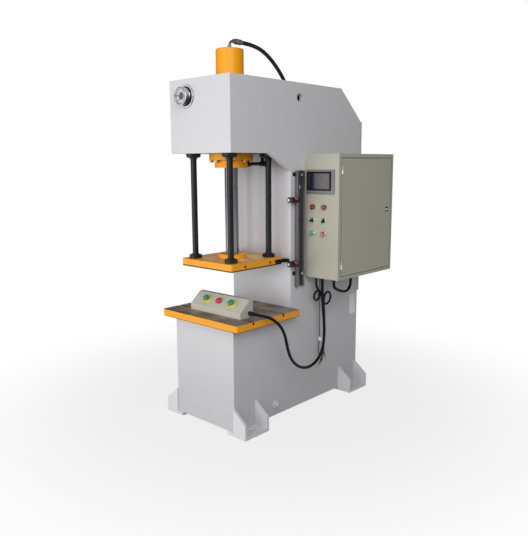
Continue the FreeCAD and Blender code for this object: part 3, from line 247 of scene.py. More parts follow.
def painted(name, colour, rough=0.45, peel=0.00006, worn=None, wear=0.5, dusty=0.0, shine=0.45,
            gap_shade=None):
    made = Finish(name, Specular_IOR_Level=shine)
    spot = made.spot()
    cloud = made.noise(spot, 2.2, 3)
    speck = made.specks(spot)
    base = made.tint(colour, (1 - DRIFT) + cloud * DRIFT + speck * DRIFT)
    if dusty:
        low = 1 - made.axis(spot, "Z").rise(DUST_FROM, DUST_TO)
        base = made.stir(low * (0.4 + speck) * dusty, base, DUST)
    # Painted shade: the colour darkens along the gap round the cabinet door.
    if gap_shade:
        base = made.stir(gap_shade(made, spot) * 0.5, base, GAP_SHADE)
    if worn:
        chips = made.edge().rise(0.10, 0.34) * made.noise(spot, 150, 3).rise(0.5, 0.62) * wear
        base = made.stir(chips, base, worn)
    made.feed(Base_Color=base, Roughness=(rough - 0.07) + speck * 0.14,
              Normal=made.bump(made.peel(spot), peel, PAINT_EDGE))
    return made


def door_gap_shade(made, spot):
    """1 along the gap round the cabinet door, where the colour is darkened as painted shade."""
    across = abs(made.axis(spot, "Y") - at(0, DOOR_DEPTH, 0).y) - DOOR_HALF_WIDE
    upward = abs(made.axis(spot, "Z") - DOOR_LEVEL) - DOOR_HALF_HIGH
    gap = 1 - abs(across.most(upward)).rise(0.0012, 0.0048)
    return gap * made.axis(spot, "X").rise(DOOR_FACE, DOOR_FACE + 0.0005)


WORN_GREY = (0.36, 0.35, 0.34)
frame_paint = painted("satin grey coat", (0.64, 0.637, 0.662), worn=WORN_GREY, dusty=0.26)
# The feet and the drain boss wear the frame's grey coat made lighter, as painted light.
lit_feet_paint = painted("satin grey coat lightened as painted light", (0.72, 0.72, 0.735), worn=(0.40, 0.39, 0.38), dusty=0.05)
cover_paint = painted("satin grey cover coat", (0.62, 0.62, 0.63), worn=WORN_GREY)
YELLOW, WORN_YELLOW, WORN_BEIGE = (0.94, 0.375, 0.003), (0.30, 0.16, 0.05), (0.30, 0.29, 0.26)
yellow_paint = painted("yellow enamel", YELLOW, rough=0.36, worn=WORN_YELLOW, shine=0.3)
cabinet_paint = painted("textured beige coat", (0.44, 0.43, 0.345), rough=0.55, peel=0.00012,
                        worn=WORN_BEIGE, wear=0.3, gap_shade=door_gap_shade)
console_paint = painted("textured console coat", (0.50, 0.485, 0.41), rough=0.55, peel=0.00012,
                        worn=WORN_BEIGE, wear=0.3)
cast_paint = painted("grey casting paint", (0.12, 0.13, 0.14), rough=0.5, peel=0.0004)
print("materials so far", len(bpy.data.materials))

# %% [markdown]
# The table and the platen are painted round their sides but bare where work touches them. One
# material can hold both: the height and the place on the plate choose between enamel and milled
# steel. The milled face has long cutter lines along X and a brown film of oil and light rust. The
# table is rubbed greyer towards the cabinet, and painted shade darkens it inside its slots and below
# its top. The platen keeps its enamel along the rim, so its bare middle has a wandering outline, and
# painted shade darkens its sides along the bottom edge.

# %% Table and platen
RAM_DEPTH = 245
TABLE_TOP, TABLE_UNDER = 0.676, 0.6375
SLOT_DEPTHS, SLOT_HALF, SLOT_REACH = (88, 346), 0.0090, 0.3236
SLOT_FLOOR, SLOT_LIP = 0.659, 0.6748
OILED, MILLED = (0.060, 0.038, 0.022), (0.46, 0.35, 0.245)
# The second and third colours here are painted shade, for inside the slots and below the top.
RUBBED, SLOT_SHADE, TABLE_SHADE = (0.30, 0.285, 0.27), (0.020, 0.016, 0.013), (0.070, 0.050, 0.035)
PLATEN_TOP, PLATEN_UNDER, PLATEN_HALF = 0.996, 0.960, (0.215, 0.2175)
# The third colour here is painted shade for the platen's bottom edge.
TAN, PALE_TAN, PLATEN_SHADE = (0.64, 0.35, 0.14), (0.96, 0.69, 0.40), (0.060, 0.048, 0.038)


def milled(made, spot, dark, light):
    """Colour, roughness and cutter lines of an oiled, milled face."""
    lines = made.noise(made.spot(stretch=(0.9, 60, 1)), 2.4, 4, 0.6)
    film = made.noise(spot, 7, 4, 0.6)
    blots = made.noise(spot, 26, 3, 0.6)
    share = (lines * 0.5 + film * 0.5).rise(0.40, 0.60)
    face = made.stir(share, dark, light)
    face = made.stir(blots.rise(0.55, 0.8) * 0.4, face, dark)
    return face, 0.30 + film * 0.25, lines


def enamel(made, spot, speck):
    """Yellow enamel, chipped here and there along its edges."""
    coat = made.tint(YELLOW, 0.91 + speck * 0.12)
    chips = made.edge().rise(0.08, 0.3) * made.noise(spot, 120, 3).rise(0.46, 0.6) * 0.55
    return made.stir(chips, coat, WORN_YELLOW)


def slot_walls(made, spot):
    """1 inside the two T-slots."""
    depth = made.axis(spot, "Y")
    first, second = (1 - abs(depth - at(0, middle, 0).y).rise(SLOT_HALF, SLOT_HALF + 0.0002)
                     for middle in SLOT_DEPTHS)
    inner = 1 - abs(made.axis(spot, "X")).rise(SLOT_REACH - 0.0004, SLOT_REACH)
    level = made.axis(spot, "Z")
    below_lip = 1 - level.rise(SLOT_LIP, SLOT_LIP + 0.0006)
    return first.most(second) * inner * level.rise(SLOT_FLOOR, SLOT_FLOOR + 0.001) * below_lip


def table_top():
    """Bare on top and in the slots, enamel round the sides, with painted shade in the slots and below."""
    made = Finish("milled table", Specular_IOR_Level=0.3)
    spot = made.spot()
    face, gloss, lines = milled(made, spot, OILED, MILLED)
    speck = made.specks(spot)
    bare = (made.axis(spot, "Z") - speck * 0.0006).rise(TABLE_TOP - 0.0016, TABLE_TOP - 0.0010)
    slots = slot_walls(made, spot)
    bare = bare.most(slots)
    rubbed = (made.axis(spot, "X") + lines * 0.16).rise(0.16, 0.38) * 0.7
    face = made.stir(rubbed, face, RUBBED)
    # Inside the slots the colour turns near-black as painted shade.
    face = made.stir(slots, face, SLOT_SHADE)
    # Below the top band the enamel turns dark as painted shade.
    under = 1 - made.axis(spot, "Z").rise(TABLE_UNDER, TABLE_UNDER + 0.0005)
    coat = made.stir(under, enamel(made, spot, speck), TABLE_SHADE)
    made.feed(Base_Color=made.stir(bare, coat, face), Metallic=bare * 0.4,
              Roughness=0.34 + speck * 0.1 + bare * (gloss - 0.34),
              Normal=made.bump(made.peel(spot) + lines * 0.6, 0.00005, PAINT_EDGE))
    return made


def platen_top():
    """Enamel that fades unevenly into a bare, tanned middle, with painted shade along the bottom edge."""
    made = Finish("brushed platen", Specular_IOR_Level=0.3)
    spot = made.spot()
    speck = made.specks(spot)
    wander = (made.noise(spot, 11, 3) - 0.5) * 0.05
    across = PLATEN_HALF[0] - abs(made.axis(spot, "X"))
    along = PLATEN_HALF[1] - abs(made.axis(spot, "Y") - at(0, RAM_DEPTH, 0).y)
    inside = (across.least(along) + wander).rise(0.030, 0.042)
    face, gloss, lines = milled(made, spot, TAN, PALE_TAN)
    bare = inside * made.axis(spot, "Z").rise(PLATEN_TOP - 0.0015, PLATEN_TOP - 0.0010)
    # A band along the bottom edge turns dark as painted shade.
    under = 1 - made.axis(spot, "Z").rise(PLATEN_UNDER - 0.0004, PLATEN_UNDER + 0.0002)
    top = made.stir(bare, enamel(made, spot, speck), face)
    made.feed(Base_Color=made.stir(under, top, PLATEN_SHADE),
              Metallic=bare * 0.12 + under * 0.4,
              Roughness=0.34 + speck * 0.1 + bare * (gloss - 0.30),
              Normal=made.bump(made.peel(spot) + lines * 0.4, 0.00005, PAINT_EDGE))
    return made


table_finish = table_top()
platen_finish = platen_top()
print("new finishes:", table_finish.material.name, "and", platen_finish.material.name)

# %% [markdown]
# Bare metal is told from paint by how it blurs reflections. Turned bars have fine rings round
# their axis, which a noise squeezed along the height gives without any UV map. The rods are
# blackened, the piston rod is ground and chromed, and small fittings are zinc plated. The gauge's
# chrome carries a painted reflection: its colour runs from dark at the bottom to bright at the top,
# as a dark room below and a bright one above would show in it.

# %% Metals


def turned_metal(name, colour, rough, ring=900, grain=0.00001, metallic=1.0, stain=0.12, shine=0.5):
    made = Finish(name, Metallic=metallic, Specular_IOR_Level=shine)
    rings = made.noise(made.spot(stretch=(6, 6, ring)), 1.0, 3, 0.6)
    film = made.noise(made.spot(), 14, 4, 0.6)
    made.feed(Base_Color=made.tint(colour, (1 - stain) + film * stain + rings * stain),
              Roughness=(rough - 0.06) + film * 0.12,
              Normal=made.bump(rings, grain, METAL_EDGE))
    return made


black_steel = turned_metal("blackened steel", (0.013, 0.013, 0.015), 0.29, metallic=0.3, shine=0.27)
hard_chrome = turned_metal("ground hard chrome", (0.27, 0.27, 0.29), 0.24, ring=1600)
# A near-black steel for the head's underside, which stands for painted shade there.
underside_shade_steel = turned_metal("dark steel as painted shade", (0.055, 0.052, 0.050), 0.42, ring=20, metallic=0.5, stain=0.3)
plain_steel = turned_metal("turned steel", (0.46, 0.45, 0.44), 0.38)
zinc_plate = turned_metal("zinc plate", (0.55, 0.54, 0.50), 0.36, stain=0.2)
bolt_zinc = turned_metal("yellow passivated zinc", (0.44, 0.27, 0.10), 0.42, metallic=0.8, stain=0.3)
chrome_plate = turned_metal("polished chrome", (0.78, 0.78, 0.79), 0.10, ring=200, grain=0.0, stain=0.05)
rail_alloy = turned_metal("dark drawn alloy", (0.175, 0.175, 0.185), 0.38, ring=6, metallic=0.7,
                          stain=0.25)
pale_chrome = turned_metal("pale chrome", (0.88, 0.88, 0.89), 0.22, ring=200, grain=0.0, metallic=0.45,
                           stain=0.05)
# The gauge's chrome gets a painted reflection, dark towards the bottom and bright towards the top, with
# streaks.
REFLECTION_FROM, REFLECTION_TO = 1.905, 1.972
REFLECTED_DARK, REFLECTED_LIGHT = (0.030, 0.045, 0.042), (0.58, 0.60, 0.61)
reflection_painted_chrome = Finish("chrome with painted reflection", Metallic=1.0)
streaks = reflection_painted_chrome.noise(reflection_painted_chrome.spot(stretch=(6, 260, 6)), 1.0, 3, 0.6)
clear = reflection_painted_chrome.axis(reflection_painted_chrome.spot(), "Z").rise(REFLECTION_FROM, REFLECTION_TO)
share = (clear + streaks * 0.7 - 0.35).rise(0.0, 1.0)
reflection_painted_chrome.feed(Base_Color=reflection_painted_chrome.stir(share, REFLECTED_DARK, REFLECTED_LIGHT), Roughness=0.10 + streaks * 0.1)
copper_wire = turned_metal("bare copper strands", (0.60, 0.27, 0.12), 0.4, ring=60, grain=0.0002)
print("materials so far", len(bpy.data.materials))

# %% [markdown]
# Moulded plastic and rubber are dull and even, with a fine grain from the mould. Their roughness
# drifts a little where hands touch them. The lamps and caps are glossy and show a clear coat.

# %% Plastics and rubber


def moulded(name, colour, rough, grain=0.00004, scale=900, coat=0.0, shine=0.5):
    made = Finish(name, Coat_Weight=coat, Coat_Roughness=0.12, Specular_IOR_Level=shine)
    spot = made.spot()
    film = made.noise(spot, 30, 4, 0.6)
    made.feed(Base_Color=made.tint(colour, 0.9 + film * 0.2), Roughness=(rough - 0.08) + film * 0.16,
              Normal=made.bump(made.noise(spot, scale, 2), grain, MOULDED_EDGE))
    return made


cable_rubber = moulded("cable rubber", (0.0045, 0.0045, 0.005), 0.5, grain=0.00006, scale=500, shine=0.12)
hose_rubber = moulded("hose rubber", (0.012, 0.011, 0.019), 0.44, grain=0.0001, scale=420, shine=0.3)
black_plastic = moulded("black moulding", (0.010, 0.010, 0.011), 0.40, shine=0.3)
dark_plastic = moulded("panel bezel moulding", (0.175, 0.170, 0.175), 0.46)
red_plastic = moulded("red moulding", (0.26, 0.012, 0.032), 0.30, coat=0.6)
ball_red = moulded("dark red ball", (0.16, 0.006, 0.022), 0.24, coat=0.8)
wine_plastic = moulded("wine red rim", (0.10, 0.003, 0.008), 0.26, coat=0.3)
lens_plastic = moulded("wine red lens", (0.24, 0.014, 0.026), 0.22, coat=0.6)
start_green = moulded("start button green", (0.085, 0.36, 0.26), 0.34, coat=0.3)
stop_red = moulded("stop button red", (0.46, 0.065, 0.09), 0.34, coat=0.3)
cap_green = moulded("palm button green", (0.03, 0.24, 0.13), 0.32, coat=0.4)
cap_red = moulded("palm button red", (0.60, 0.03, 0.03), 0.32, coat=0.4)
disc_yellow = moulded("yellow disc", (0.68, 0.60, 0.12), 0.45)
ivory_plastic = moulded("ivory moulding", (0.46, 0.46, 0.42), 0.45)
earth_green = moulded("green wire cover", (0.035, 0.06, 0.035), 0.40, scale=400)
white_tag = moulded("white marker", (0.88, 0.88, 0.87), 0.5)
print("materials so far", len(bpy.data.materials))

# %% [markdown]
# Every node of the construction model now gets its finish by name. Several of them are hidden later
# by a fuller piece, but they keep a finish too, so that nothing plain can show.

# %% Give every construction node its finish
worn_by = {
    frame_paint: ("side_plate_left side_plate_right head_front_plate head_top_plate "
                  "column_front_plate base_front_plate rear_wall"),
    lit_feet_paint: "feet drain_plug",
    cover_paint: "rear_cover",
    yellow_paint: "cylinder_barrel cylinder_flange rod_gland ram_flange",
    table_finish: "work_table",
    platen_finish: "platen",
    cabinet_paint: "cabinet_shell cabinet_door",
    console_paint: "console_shell",
    cast_paint: "oil_tank pump_motor",
    # The head's underside takes the near-black steel as painted shade.
    underside_shade_steel: "head_bottom_plate",
    black_steel: "guide_bushes guide_rods rod_collars striker_arm return_pipe rail_straps",
    hard_chrome: "ram",
    plain_steel: "piston valve_block mounting_plate",
    zinc_plate: "hose_fittings hinge_pins",
    bolt_zinc: "flange_bolts",
    chrome_plate: "gauge_case door_lock button_collars",
    rail_alloy: "sensor_rail",
    black_plastic: "position_sensors selector_left selector_right cable_glands gauge_pointer",
    dark_plastic: "touch_panel",
    red_plastic: "clamp_knobs",
    wine_plastic: "signal_lamps",
    start_green: "start_button",
    stop_red: "stop_button",
    cap_green: "console_left_button console_right_button",
    cap_red: "console_stop_button",
    disc_yellow: "console_collars",
    ivory_plastic: "switchgear",
    cable_rubber: "two_hand_cable mains_cable mains_leads loop_cable",
    hose_rubber: "hydraulic_hose",
    earth_green: "earth_lead",
}
for finish, names in worn_by.items():
    for name in names.split():
        thing = nodes[name]
        if not thing.material_slots:
            thing.data.materials.append(finish.material)
        for holder in thing.material_slots:
            holder.material = finish.material
print("without a finish:", sorted(set(nodes) - set(" ".join(worn_by.values()).split())))

# %% [markdown]
# A cable is a curve with a round section. Its points are the ones the construction model uses, and
# a smooth spline of order three passes near each corner, so the line bends as a real cable does.
# The order is set after the points are added, because set before, it falls back to straight runs.

# %% How a cable is drawn
ROUND_STEPS, BEND_STEPS = 5, 12


def drawn_cord(name, points, diameter, finish, body):
    line = bpy.data.curves.new(name, "CURVE")
    line.dimensions = "3D"
    line.bevel_depth = diameter / 2
    line.bevel_resolution = ROUND_STEPS
    line.resolution_u = BEND_STEPS
    line.use_fill_caps = True
    run = line.splines.new("NURBS")
    run.points.add(len(points) - 1)
    for corner, place in zip(run.points, points):
        corner.co = (*place, 1)
    run.order_u = 3
    run.use_endpoint_u = True
    line.materials.append(finish.material)
    thing = placed(name, line)
    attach(thing, body)
    return thing


def line_length(thing):
    """Length of a cord's own centre line."""
    flat = thing.copy()
    flat.data = thing.data.copy()
    flat.data.bevel_depth = 0
    bpy.context.scene.collection.objects.link(flat)
    bpy.context.view_layer.update()
    state = bpy.context.evaluated_depsgraph_get()
    path = bpy.data.meshes.new_from_object(flat.evaluated_get(state))
    total = sum((path.vertices[edge.vertices[0]].co - path.vertices[edge.vertices[1]].co).length
                for edge in path.edges)
    bpy.data.objects.remove(flat)
    return total


print("cable helpers ready")

# %% [markdown]
# The hose climbs out of the cylinder, bows back and goes down through the head to the valves. The
# console's cable falls in one long arc from the table to the cabinet, and a short one makes a bend
# under the cabinet's rear.

# %% Hose and thick cables
hose_line = [at(0, 340, 2256), at(0, 442, 2256), at(0, 556, 2222), at(0, 664, 2144), at(0, 742, 2058),
             at(0, 768, 1956), at(0, 772, 1736), at(0, 800, 1456), at(0, 880, 1166), at(0, 968, 896),
             at(0, 1018, 726), at(0, 1018, 580)]
hose = drawn_cord("hose", hose_line, 0.024, hose_rubber, "frame")
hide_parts("hydraulic_hose")

two_hand_line = [at(*p) for p in (
    (268, 148, 702), (322, 148, 702), (368, 183, 690), (390, 236, 644), (390, 282, 578),
    (386, 306, 502), (380, 340, 424), (373, 398, 360), (367, 478, 317), (361, 564, 305),
    (357, 644, 332), (354, 695, 392), (354, 709, 476), (353, 706, 572), (350, 695, 668),
    (347, 692, 752), (347, 692, 829))]
two_hand = drawn_cord("console_cable", two_hand_line, 0.018, cable_rubber, "frame")
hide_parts("two_hand_cable")

bend_line = [at(*p) for p in (
    (427, 703, 829), (427, 703, 812), (427, 709, 797), (426, 726, 784), (424, 757, 771),
    (421, 793, 758), (417, 831, 749), (413, 867, 750), (409, 895, 762), (406, 911, 782),
    (405, 916, 806), (405, 916, 829))]
bend = drawn_cord("bend_cable", bend_line, 0.018, cable_rubber, "frame")
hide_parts("loop_cable")
print("hose", round(line_length(hose), 3), "console", round(line_length(two_hand), 3),
      "bend", round(line_length(bend), 3))

# %% [markdown]
# The mains cable hangs under the cabinet in two loose turns, one behind the other, and ends in four
# short cores with bare copper tips. Each turn is a circle whose centre drifts, and the corners lie
# outside it by just enough for the spline to follow the circle.

# %% Mains cable


def loose_turn(first, last, radius, angle, sweep, steps):
    """Corners of a turn in a plane across X, whose centre drifts from the first place to the last."""
    step = radians(sweep / steps)
    reach = radius / cos(step / 2)
    corners = []
    for number in range(steps + 1):
        turn = radians(angle) + step * number
        x, depth, level = [a + (b - a) * number / steps for a, b in zip(first, last)]
        corners.append(at(x, depth + reach * cos(turn), level + reach * sin(turn)))
    return corners


mains_line = [at(*p) for p in ((291, 700, 829), (291, 700, 803), (289, 709, 780), (288, 726, 761))]
mains_line += loose_turn((288, 705, 728), (305, 704, 727), 32, 25, -378, 10)
mains_line += loose_turn((311, 776, 703), (328, 773, 704), 40, 198, 305, 9)
mains_line += [at(*p) for p in ((333, 728, 702), (337, 724, 664), (339, 727, 606), (334, 735, 536),
                                (326, 742, 456), (321, 745, 372))]
mains = drawn_cord("mains_cord", mains_line, 0.013, cable_rubber, "frame")
CORE, COPPER, OFF_MIDDLE = 0.005, 0.0038, 0.0038
core_ends = (((-1, 0), (-16, 2, -60), (-38, 4, -114)),
             ((1, 0), (-2, -2, -58), (-20, -5, -104)),
             ((0, 1), (4, 9, -40), (5, 14, -62)),
             ((0, -1), (-4, -10, -48), (-9, -16, -80)))
end = mains_line[-1]
along = (end - mains_line[-2]).normalized()
aside = along.cross(Vector((0, 1, 0))).normalized()
behind = aside.cross(along)
for number, (side, middle, tip) in enumerate(core_ends):
    start = end + (aside * side[0] + behind * side[1]) * OFF_MIDDLE
    line = [start - along * 0.001, start + along * 0.018, end + Vector(middle) / 1000,
            end + Vector(tip) / 1000]
    drawn_cord("core_%d" % number, line, CORE, cable_rubber, "frame")
    heading = (line[-1] - line[-2]).normalized()
    bare = [line[-1] - heading * 0.001, line[-1] + heading * 0.012, line[-1] + heading * 0.026]
    drawn_cord("copper_%d" % number, bare, COPPER, copper_wire, "frame")
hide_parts("mains_cable")
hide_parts("mains_leads")
print("mains", round(line_length(mains), 3))

# %% [markdown]
# A thin earth wire hangs beside the mains cable. It is nearly straight, because nothing pulls it
# aside.

# %% Earth wire
earth_line = [at(*p) for p in ((264, 775, 845), (262, 776, 640), (265, 775, 440), (258, 776, 380),
                               (259, 775, 318))]
earth = drawn_cord("earth_wire", earth_line, 0.006, earth_green, "frame")
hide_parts("earth_lead")
print("earth", round(line_length(earth), 3))

# %% [markdown]
# The small fittings come next. Most of them are turned parts, so one helper spins a profile of
# (radius, height) corners round Z. Others make a plate with rounded corners, a hexagon and a bend.
# All are drawn in millimetres, standing on their own XY plane.

# %% Shapes for fittings
MERGE = 0.001


def turned(corners, segments=48):
    shape = bmesh.new()
    rim = [shape.verts.new((radius, 0, height)) for radius, height in corners]
    line = [shape.edges.new(pair) for pair in zip(rim, rim[1:])]
    bmesh.ops.spin(shape, geom=rim + line, cent=(0, 0, 0), axis=(0, 0, 1), angle=2 * pi,
                   steps=segments, use_merge=True)
    bmesh.ops.remove_doubles(shape, verts=shape.verts[:], dist=MERGE)
    bmesh.ops.recalc_face_normals(shape, faces=shape.faces[:])
    return shape


def round_bar(radius, length):
    return turned([(0, 0), (radius, 0), (radius, length), (0, length)], 32)


def softened(shape, width, angle=30):
    """Rounds the edges that turn by more than the angle."""
    sharp = [edge for edge in shape.edges
             if len(edge.link_faces) == 2 and edge.calc_face_angle() > radians(angle)]
    bmesh.ops.bevel(shape, geom=sharp, offset=width, offset_type="OFFSET", segments=2,
                    profile=0.5, affect="EDGES", material=-1, clamp_overlap=True)
    return shape


def slab(wide, high, thick, corner=0.0, edge=0.4):
    """A plate that stands on its place, with rounded corners and softened edges."""
    shape = bmesh.new()
    bmesh.ops.create_cube(shape, size=1, matrix=Matrix.Translation((0, 0, thick / 2))
                          @ Matrix.Diagonal((wide, high, thick, 1)))
    if corner:
        upright = [e for e in shape.edges if abs(e.verts[0].co.z - e.verts[1].co.z) > thick / 2]
        bmesh.ops.bevel(shape, geom=upright, offset=corner, offset_type="OFFSET", segments=5, profile=0.5,
                        affect="EDGES", material=-1)
    return softened(shape, edge, angle=50) if edge else shape


def hex_prism(across, length):
    shape = bmesh.new()
    radius = across / sqrt(3)
    bmesh.ops.create_cone(shape, cap_ends=True, segments=6, radius1=radius, radius2=radius, depth=length,
                          matrix=Matrix.Translation((0, 0, length / 2)))
    return softened(shape, 0.8)


def bent_pipe(radius, turn_radius, segments=24):
    """A quarter bend: starts at the place along Z and turns towards +X."""
    shape = bmesh.new()
    bmesh.ops.create_circle(shape, cap_ends=False, segments=segments, radius=radius)
    bmesh.ops.spin(shape, geom=shape.verts[:] + shape.edges[:], cent=(turn_radius, 0, 0), axis=(0, 1, 0),
                   angle=pi / 2, steps=12, use_merge=False)
    bmesh.ops.holes_fill(shape, edges=shape.edges[:], sides=segments)
    bmesh.ops.recalc_face_normals(shape, faces=shape.faces[:])
    return shape


print("shape helpers ready")

# %% [markdown]
# A seat is a matrix that stands a shape up on the face that carries it, with Z pointing out of that
# face. A fitting joins its shapes into one mesh whose place is in its vertices, so its object stays
# at the origin and its pattern doesn't slide. It keeps edges of more than 32 degrees sharp.

# %% Seats and fittings
FRONT, SIDE, BACK, TOP, BELOW = (0, -1, 0), (1, 0, 0), (0, 1, 0), (0, 0, 1), (0, 0, -1)
SHARP_ANGLE = 32


def seat(place, outward, up=None, roll=0.0):
    """Millimetres on a face: Z points outward and Y up, or back on a level face."""
    z = Vector(outward).normalized()
    if up is None:
        up = BACK if abs(z.z) == 1 else TOP
    x = Vector(up).cross(z).normalized()
    turn = Matrix((x, z.cross(x), z)).transposed().to_4x4()
    return (Matrix.Translation(place) @ turn @ Matrix.Rotation(radians(roll), 4, "Z")
            @ Matrix.Scale(0.001, 4))


def moved(place, x=0, y=0, z=0):
    """A seat moved along its own face, or out of it."""
    return place @ Matrix.Translation((x, y, z))


def fitting(name, parts, body, replaces=()):
    """Joins (shape, seat, finish) parts into one object that rides on a body."""
    whole = bmesh.new()
    finishes = []
    for shape, where, finish in parts:
        if finish not in finishes:
            finishes.append(finish)
        for face in shape.faces:
            face.material_index = finishes.index(finish)
        bmesh.ops.transform(shape, matrix=where, verts=shape.verts[:])
        joined = bpy.data.meshes.new("part")
        shape.to_mesh(joined)
        shape.free()
        whole.from_mesh(joined)
        bpy.data.meshes.remove(joined)
    mesh = bpy.data.meshes.new(name)
    whole.to_mesh(mesh)
    whole.free()
    for finish in finishes:
        mesh.materials.append(finish.material)
    mesh.polygons.foreach_set("use_smooth", [True] * len(mesh.polygons))
    mesh.set_sharp_from_angle(angle=radians(SHARP_ANGLE))
    thing = placed(name, mesh)
    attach(thing, body)
    if replaces:
        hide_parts(*replaces)


print("fitting helpers ready")

# %% [markdown]
# The pressure gauge has a white dial with black graduations over three quarters of a turn, and a red
# hand marks the highest pressure allowed. The numbers are text turned into mesh before it is placed,
# so the export keeps it. The pointer itself is a moving node of the construction model.

# %% Gauge dial
dial_white = moulded("dial enamel", (0.52, 0.53, 0.53), 0.5, grain=0.00001)
dial_black = moulded("dial ink", (0.012, 0.012, 0.014), 0.5, grain=0.00001)
hand_red = moulded("red hand enamel", (0.30, 0.008, 0.035), 0.4, grain=0.00001)
clear_glass = Finish("gauge glass", Base_Color=(0.9, 0.93, 0.95, 1), Specular_IOR_Level=0.3)
clear_glass.feed(Alpha=0.03 + clear_glass.noise(clear_glass.spot(), 60, 2) * 0.05,
                 Roughness=0.03 + clear_glass.noise(clear_glass.spot(), 35, 3) * 0.05)
DIAL, MARK_RIM, NUMBER_RING = 34.1, 41.5, 28.5
MARKS, FIRST_MARK, MARK_STEP, LIMIT_ANGLE = 51, -135, 5.4, -84
GAUGE_X, GAUGE_LEVEL = -107, 1934
gauge_seat = seat(at(GAUGE_X, 0, GAUGE_LEVEL), FRONT)


def on_dial(radius, angle, proud, roll=0.0):
    """A seat on the dial at a radius and an angle, clockwise from the top."""
    turn = radians(angle)
    return moved(gauge_seat, radius * sin(turn), radius * cos(turn), proud) \
        @ Matrix.Rotation(radians(roll), 4, "Z")


def number_shape(text, size):
    """A number as a thin shape centred on its place."""
    letters = bpy.data.curves.new("number", "FONT")
    letters.body = text
    letters.size = size
    letters.align_x = "CENTER"
    letters.align_y = "CENTER"
    letters.resolution_u = 3
    letters.extrude = 0.05
    holder = placed("number", letters)
    bpy.context.view_layer.update()
    state = bpy.context.evaluated_depsgraph_get()
    flat = bpy.data.meshes.new_from_object(holder.evaluated_get(state))
    bpy.data.objects.remove(holder)
    shape = bmesh.new()
    shape.from_mesh(flat)
    bpy.data.meshes.remove(flat)
    bmesh.ops.remove_doubles(shape, verts=shape.verts[:], dist=MERGE)
    return shape


dial_parts = []
for number in range(MARKS):
    angle = FIRST_MARK + MARK_STEP * number
    major = number % 10 == 0
    length = 6.5 if major else (4.6 if number % 5 == 0 else 3.2)
    tick = slab(1.3 if major else 0.6, length, 0.25, edge=0)
    dial_parts.append((tick, on_dial(MARK_RIM - length / 2, angle, DIAL, -angle), dial_black))
    if major:
        text = number_shape(str(number // 2), 8.5)
        dial_parts.append((text, on_dial(NUMBER_RING, angle, DIAL), dial_black))
arc = turned([(41.2, 0), (42.0, 0), (42.0, 0.2), (41.2, 0.2), (41.2, 0)], 96)
dial_parts.append((arc, moved(gauge_seat, z=DIAL), dial_black))
hub = turned([(20.5, 0), (20.5, 0.3), (19.5, 0.3), (0, 0.3)])
dial_parts.append((hub, moved(gauge_seat, z=DIAL - 0.1), dial_black))
limit_hand = slab(8, 24, 0.5, corner=1.5, edge=0.1)
dial_parts.append((limit_hand, on_dial(30, LIMIT_ANGLE, DIAL + 0.5, -LIMIT_ANGLE), hand_red))
fitting("gauge_scale", dial_parts, "frame")
print("gauge marks", len(dial_parts))

# %% [markdown]
# The gauge's case is chromed and stands on a wall flange. Each of its parts is a spun profile of its
# own, because ring, flange, case and lip shine differently and meet at sharp steps.

# %% Gauge case
edge_ring = turned([(64.4, 0), (66, 0), (66, 3), (65, 3.8), (64.4, 3.8), (64.4, 0)], 96)
flange = turned([(0, 0), (28, 0), (64.5, 0), (64.8, 1), (64.8, 3.4), (64.2, 4), (55, 4), (54, 3.2),
                 (47, 3.2), (46, 3.4), (0, 3.4)], 96)
case = turned([(46, 3), (48.2, 3), (48.2, 14), (47.4, 15), (47.4, 17), (48.2, 18), (48.2, 39),
               (46.5, 39.5), (44.4, 39.5), (44.4, 33.9), (0, 33.9), (0, 3), (46, 3)], 96)
lip = turned([(44.2, 34), (44.2, 46), (45.5, 46), (48, 46), (49, 45), (49, 40.5), (48.4, 39.5),
              (46.5, 39.4), (44.2, 34)], 96)
dial_plate = turned([(0, 33.95), (43.9, 33.95), (43.9, 34.05), (0, 34.05)], 64)
# A black ring fills the gap between case and flange as painted shade.
gap_shade_ring = turned([(48.1, 3.3), (54.6, 3.3), (54.6, 5.2), (53.0, 6.4), (48.1, 6.4), (48.1, 3.3)], 96)
stub = turned([(0, -30), (28, -30), (28, 0), (0, 0)])
glass = turned([(0, 43.2), (44.4, 43.2), (44.4, 44.4), (0, 44.6)], 64)
# The case and its edge ring wear the chrome with the painted reflection.
case_parts = [(edge_ring, reflection_painted_chrome), (flange, pale_chrome), (case, reflection_painted_chrome), (lip, chrome_plate),
              (dial_plate, dial_white), (gap_shade_ring, black_plastic), (stub, plain_steel)]
fitting("gauge_body", [(shape, gauge_seat, finish) for shape, finish in case_parts], "frame",
        replaces=["gauge_case"])
fitting("gauge_window", [(glass, gauge_seat, clear_glass)], "frame")
print("gauge case", len(case_parts) + 1)

# %% [markdown]
# The touch panel is a grey moulded bezel with a black glass front, and its display shows through the
# glass as a dull blue grey that warms to brown on one side. The colour runs along X on the display.

# %% Touch panel
PANEL_DEPTH, SCREEN_X, SCREEN_LEVEL = 631, 372, 1447
screen = Finish("dark display", Specular_IOR_Level=0.2)
spot = screen.spot()
across = (screen.axis(spot, "X") - SCREEN_X / 1000) * 1000
NIGHT_BLUE, BLUE_GREY, BROWN_GREY = (0.012, 0.014, 0.028), (0.090, 0.095, 0.118), (0.135, 0.112, 0.112)
tone = screen.stir(across.rise(-62, -30), NIGHT_BLUE, BLUE_GREY)
tone = screen.stir(across.rise(-25, 35), tone, BROWN_GREY)
screen.feed(Base_Color=screen.tint(tone, 0.9 + screen.noise(spot, 40, 2) * 0.2),
            Roughness=0.22 + screen.noise(spot, 90, 3) * 0.1)
glass_black = moulded("black front glass", (0.010, 0.010, 0.014), 0.34, grain=0.0, shine=0.12)
panel_seat = seat(at(SCREEN_X, PANEL_DEPTH, SCREEN_LEVEL), FRONT)
bezel = slab(210, 146, 6, corner=5, edge=1.6)
front_glass = slab(184, 114, 0.9, corner=2, edge=0.3)
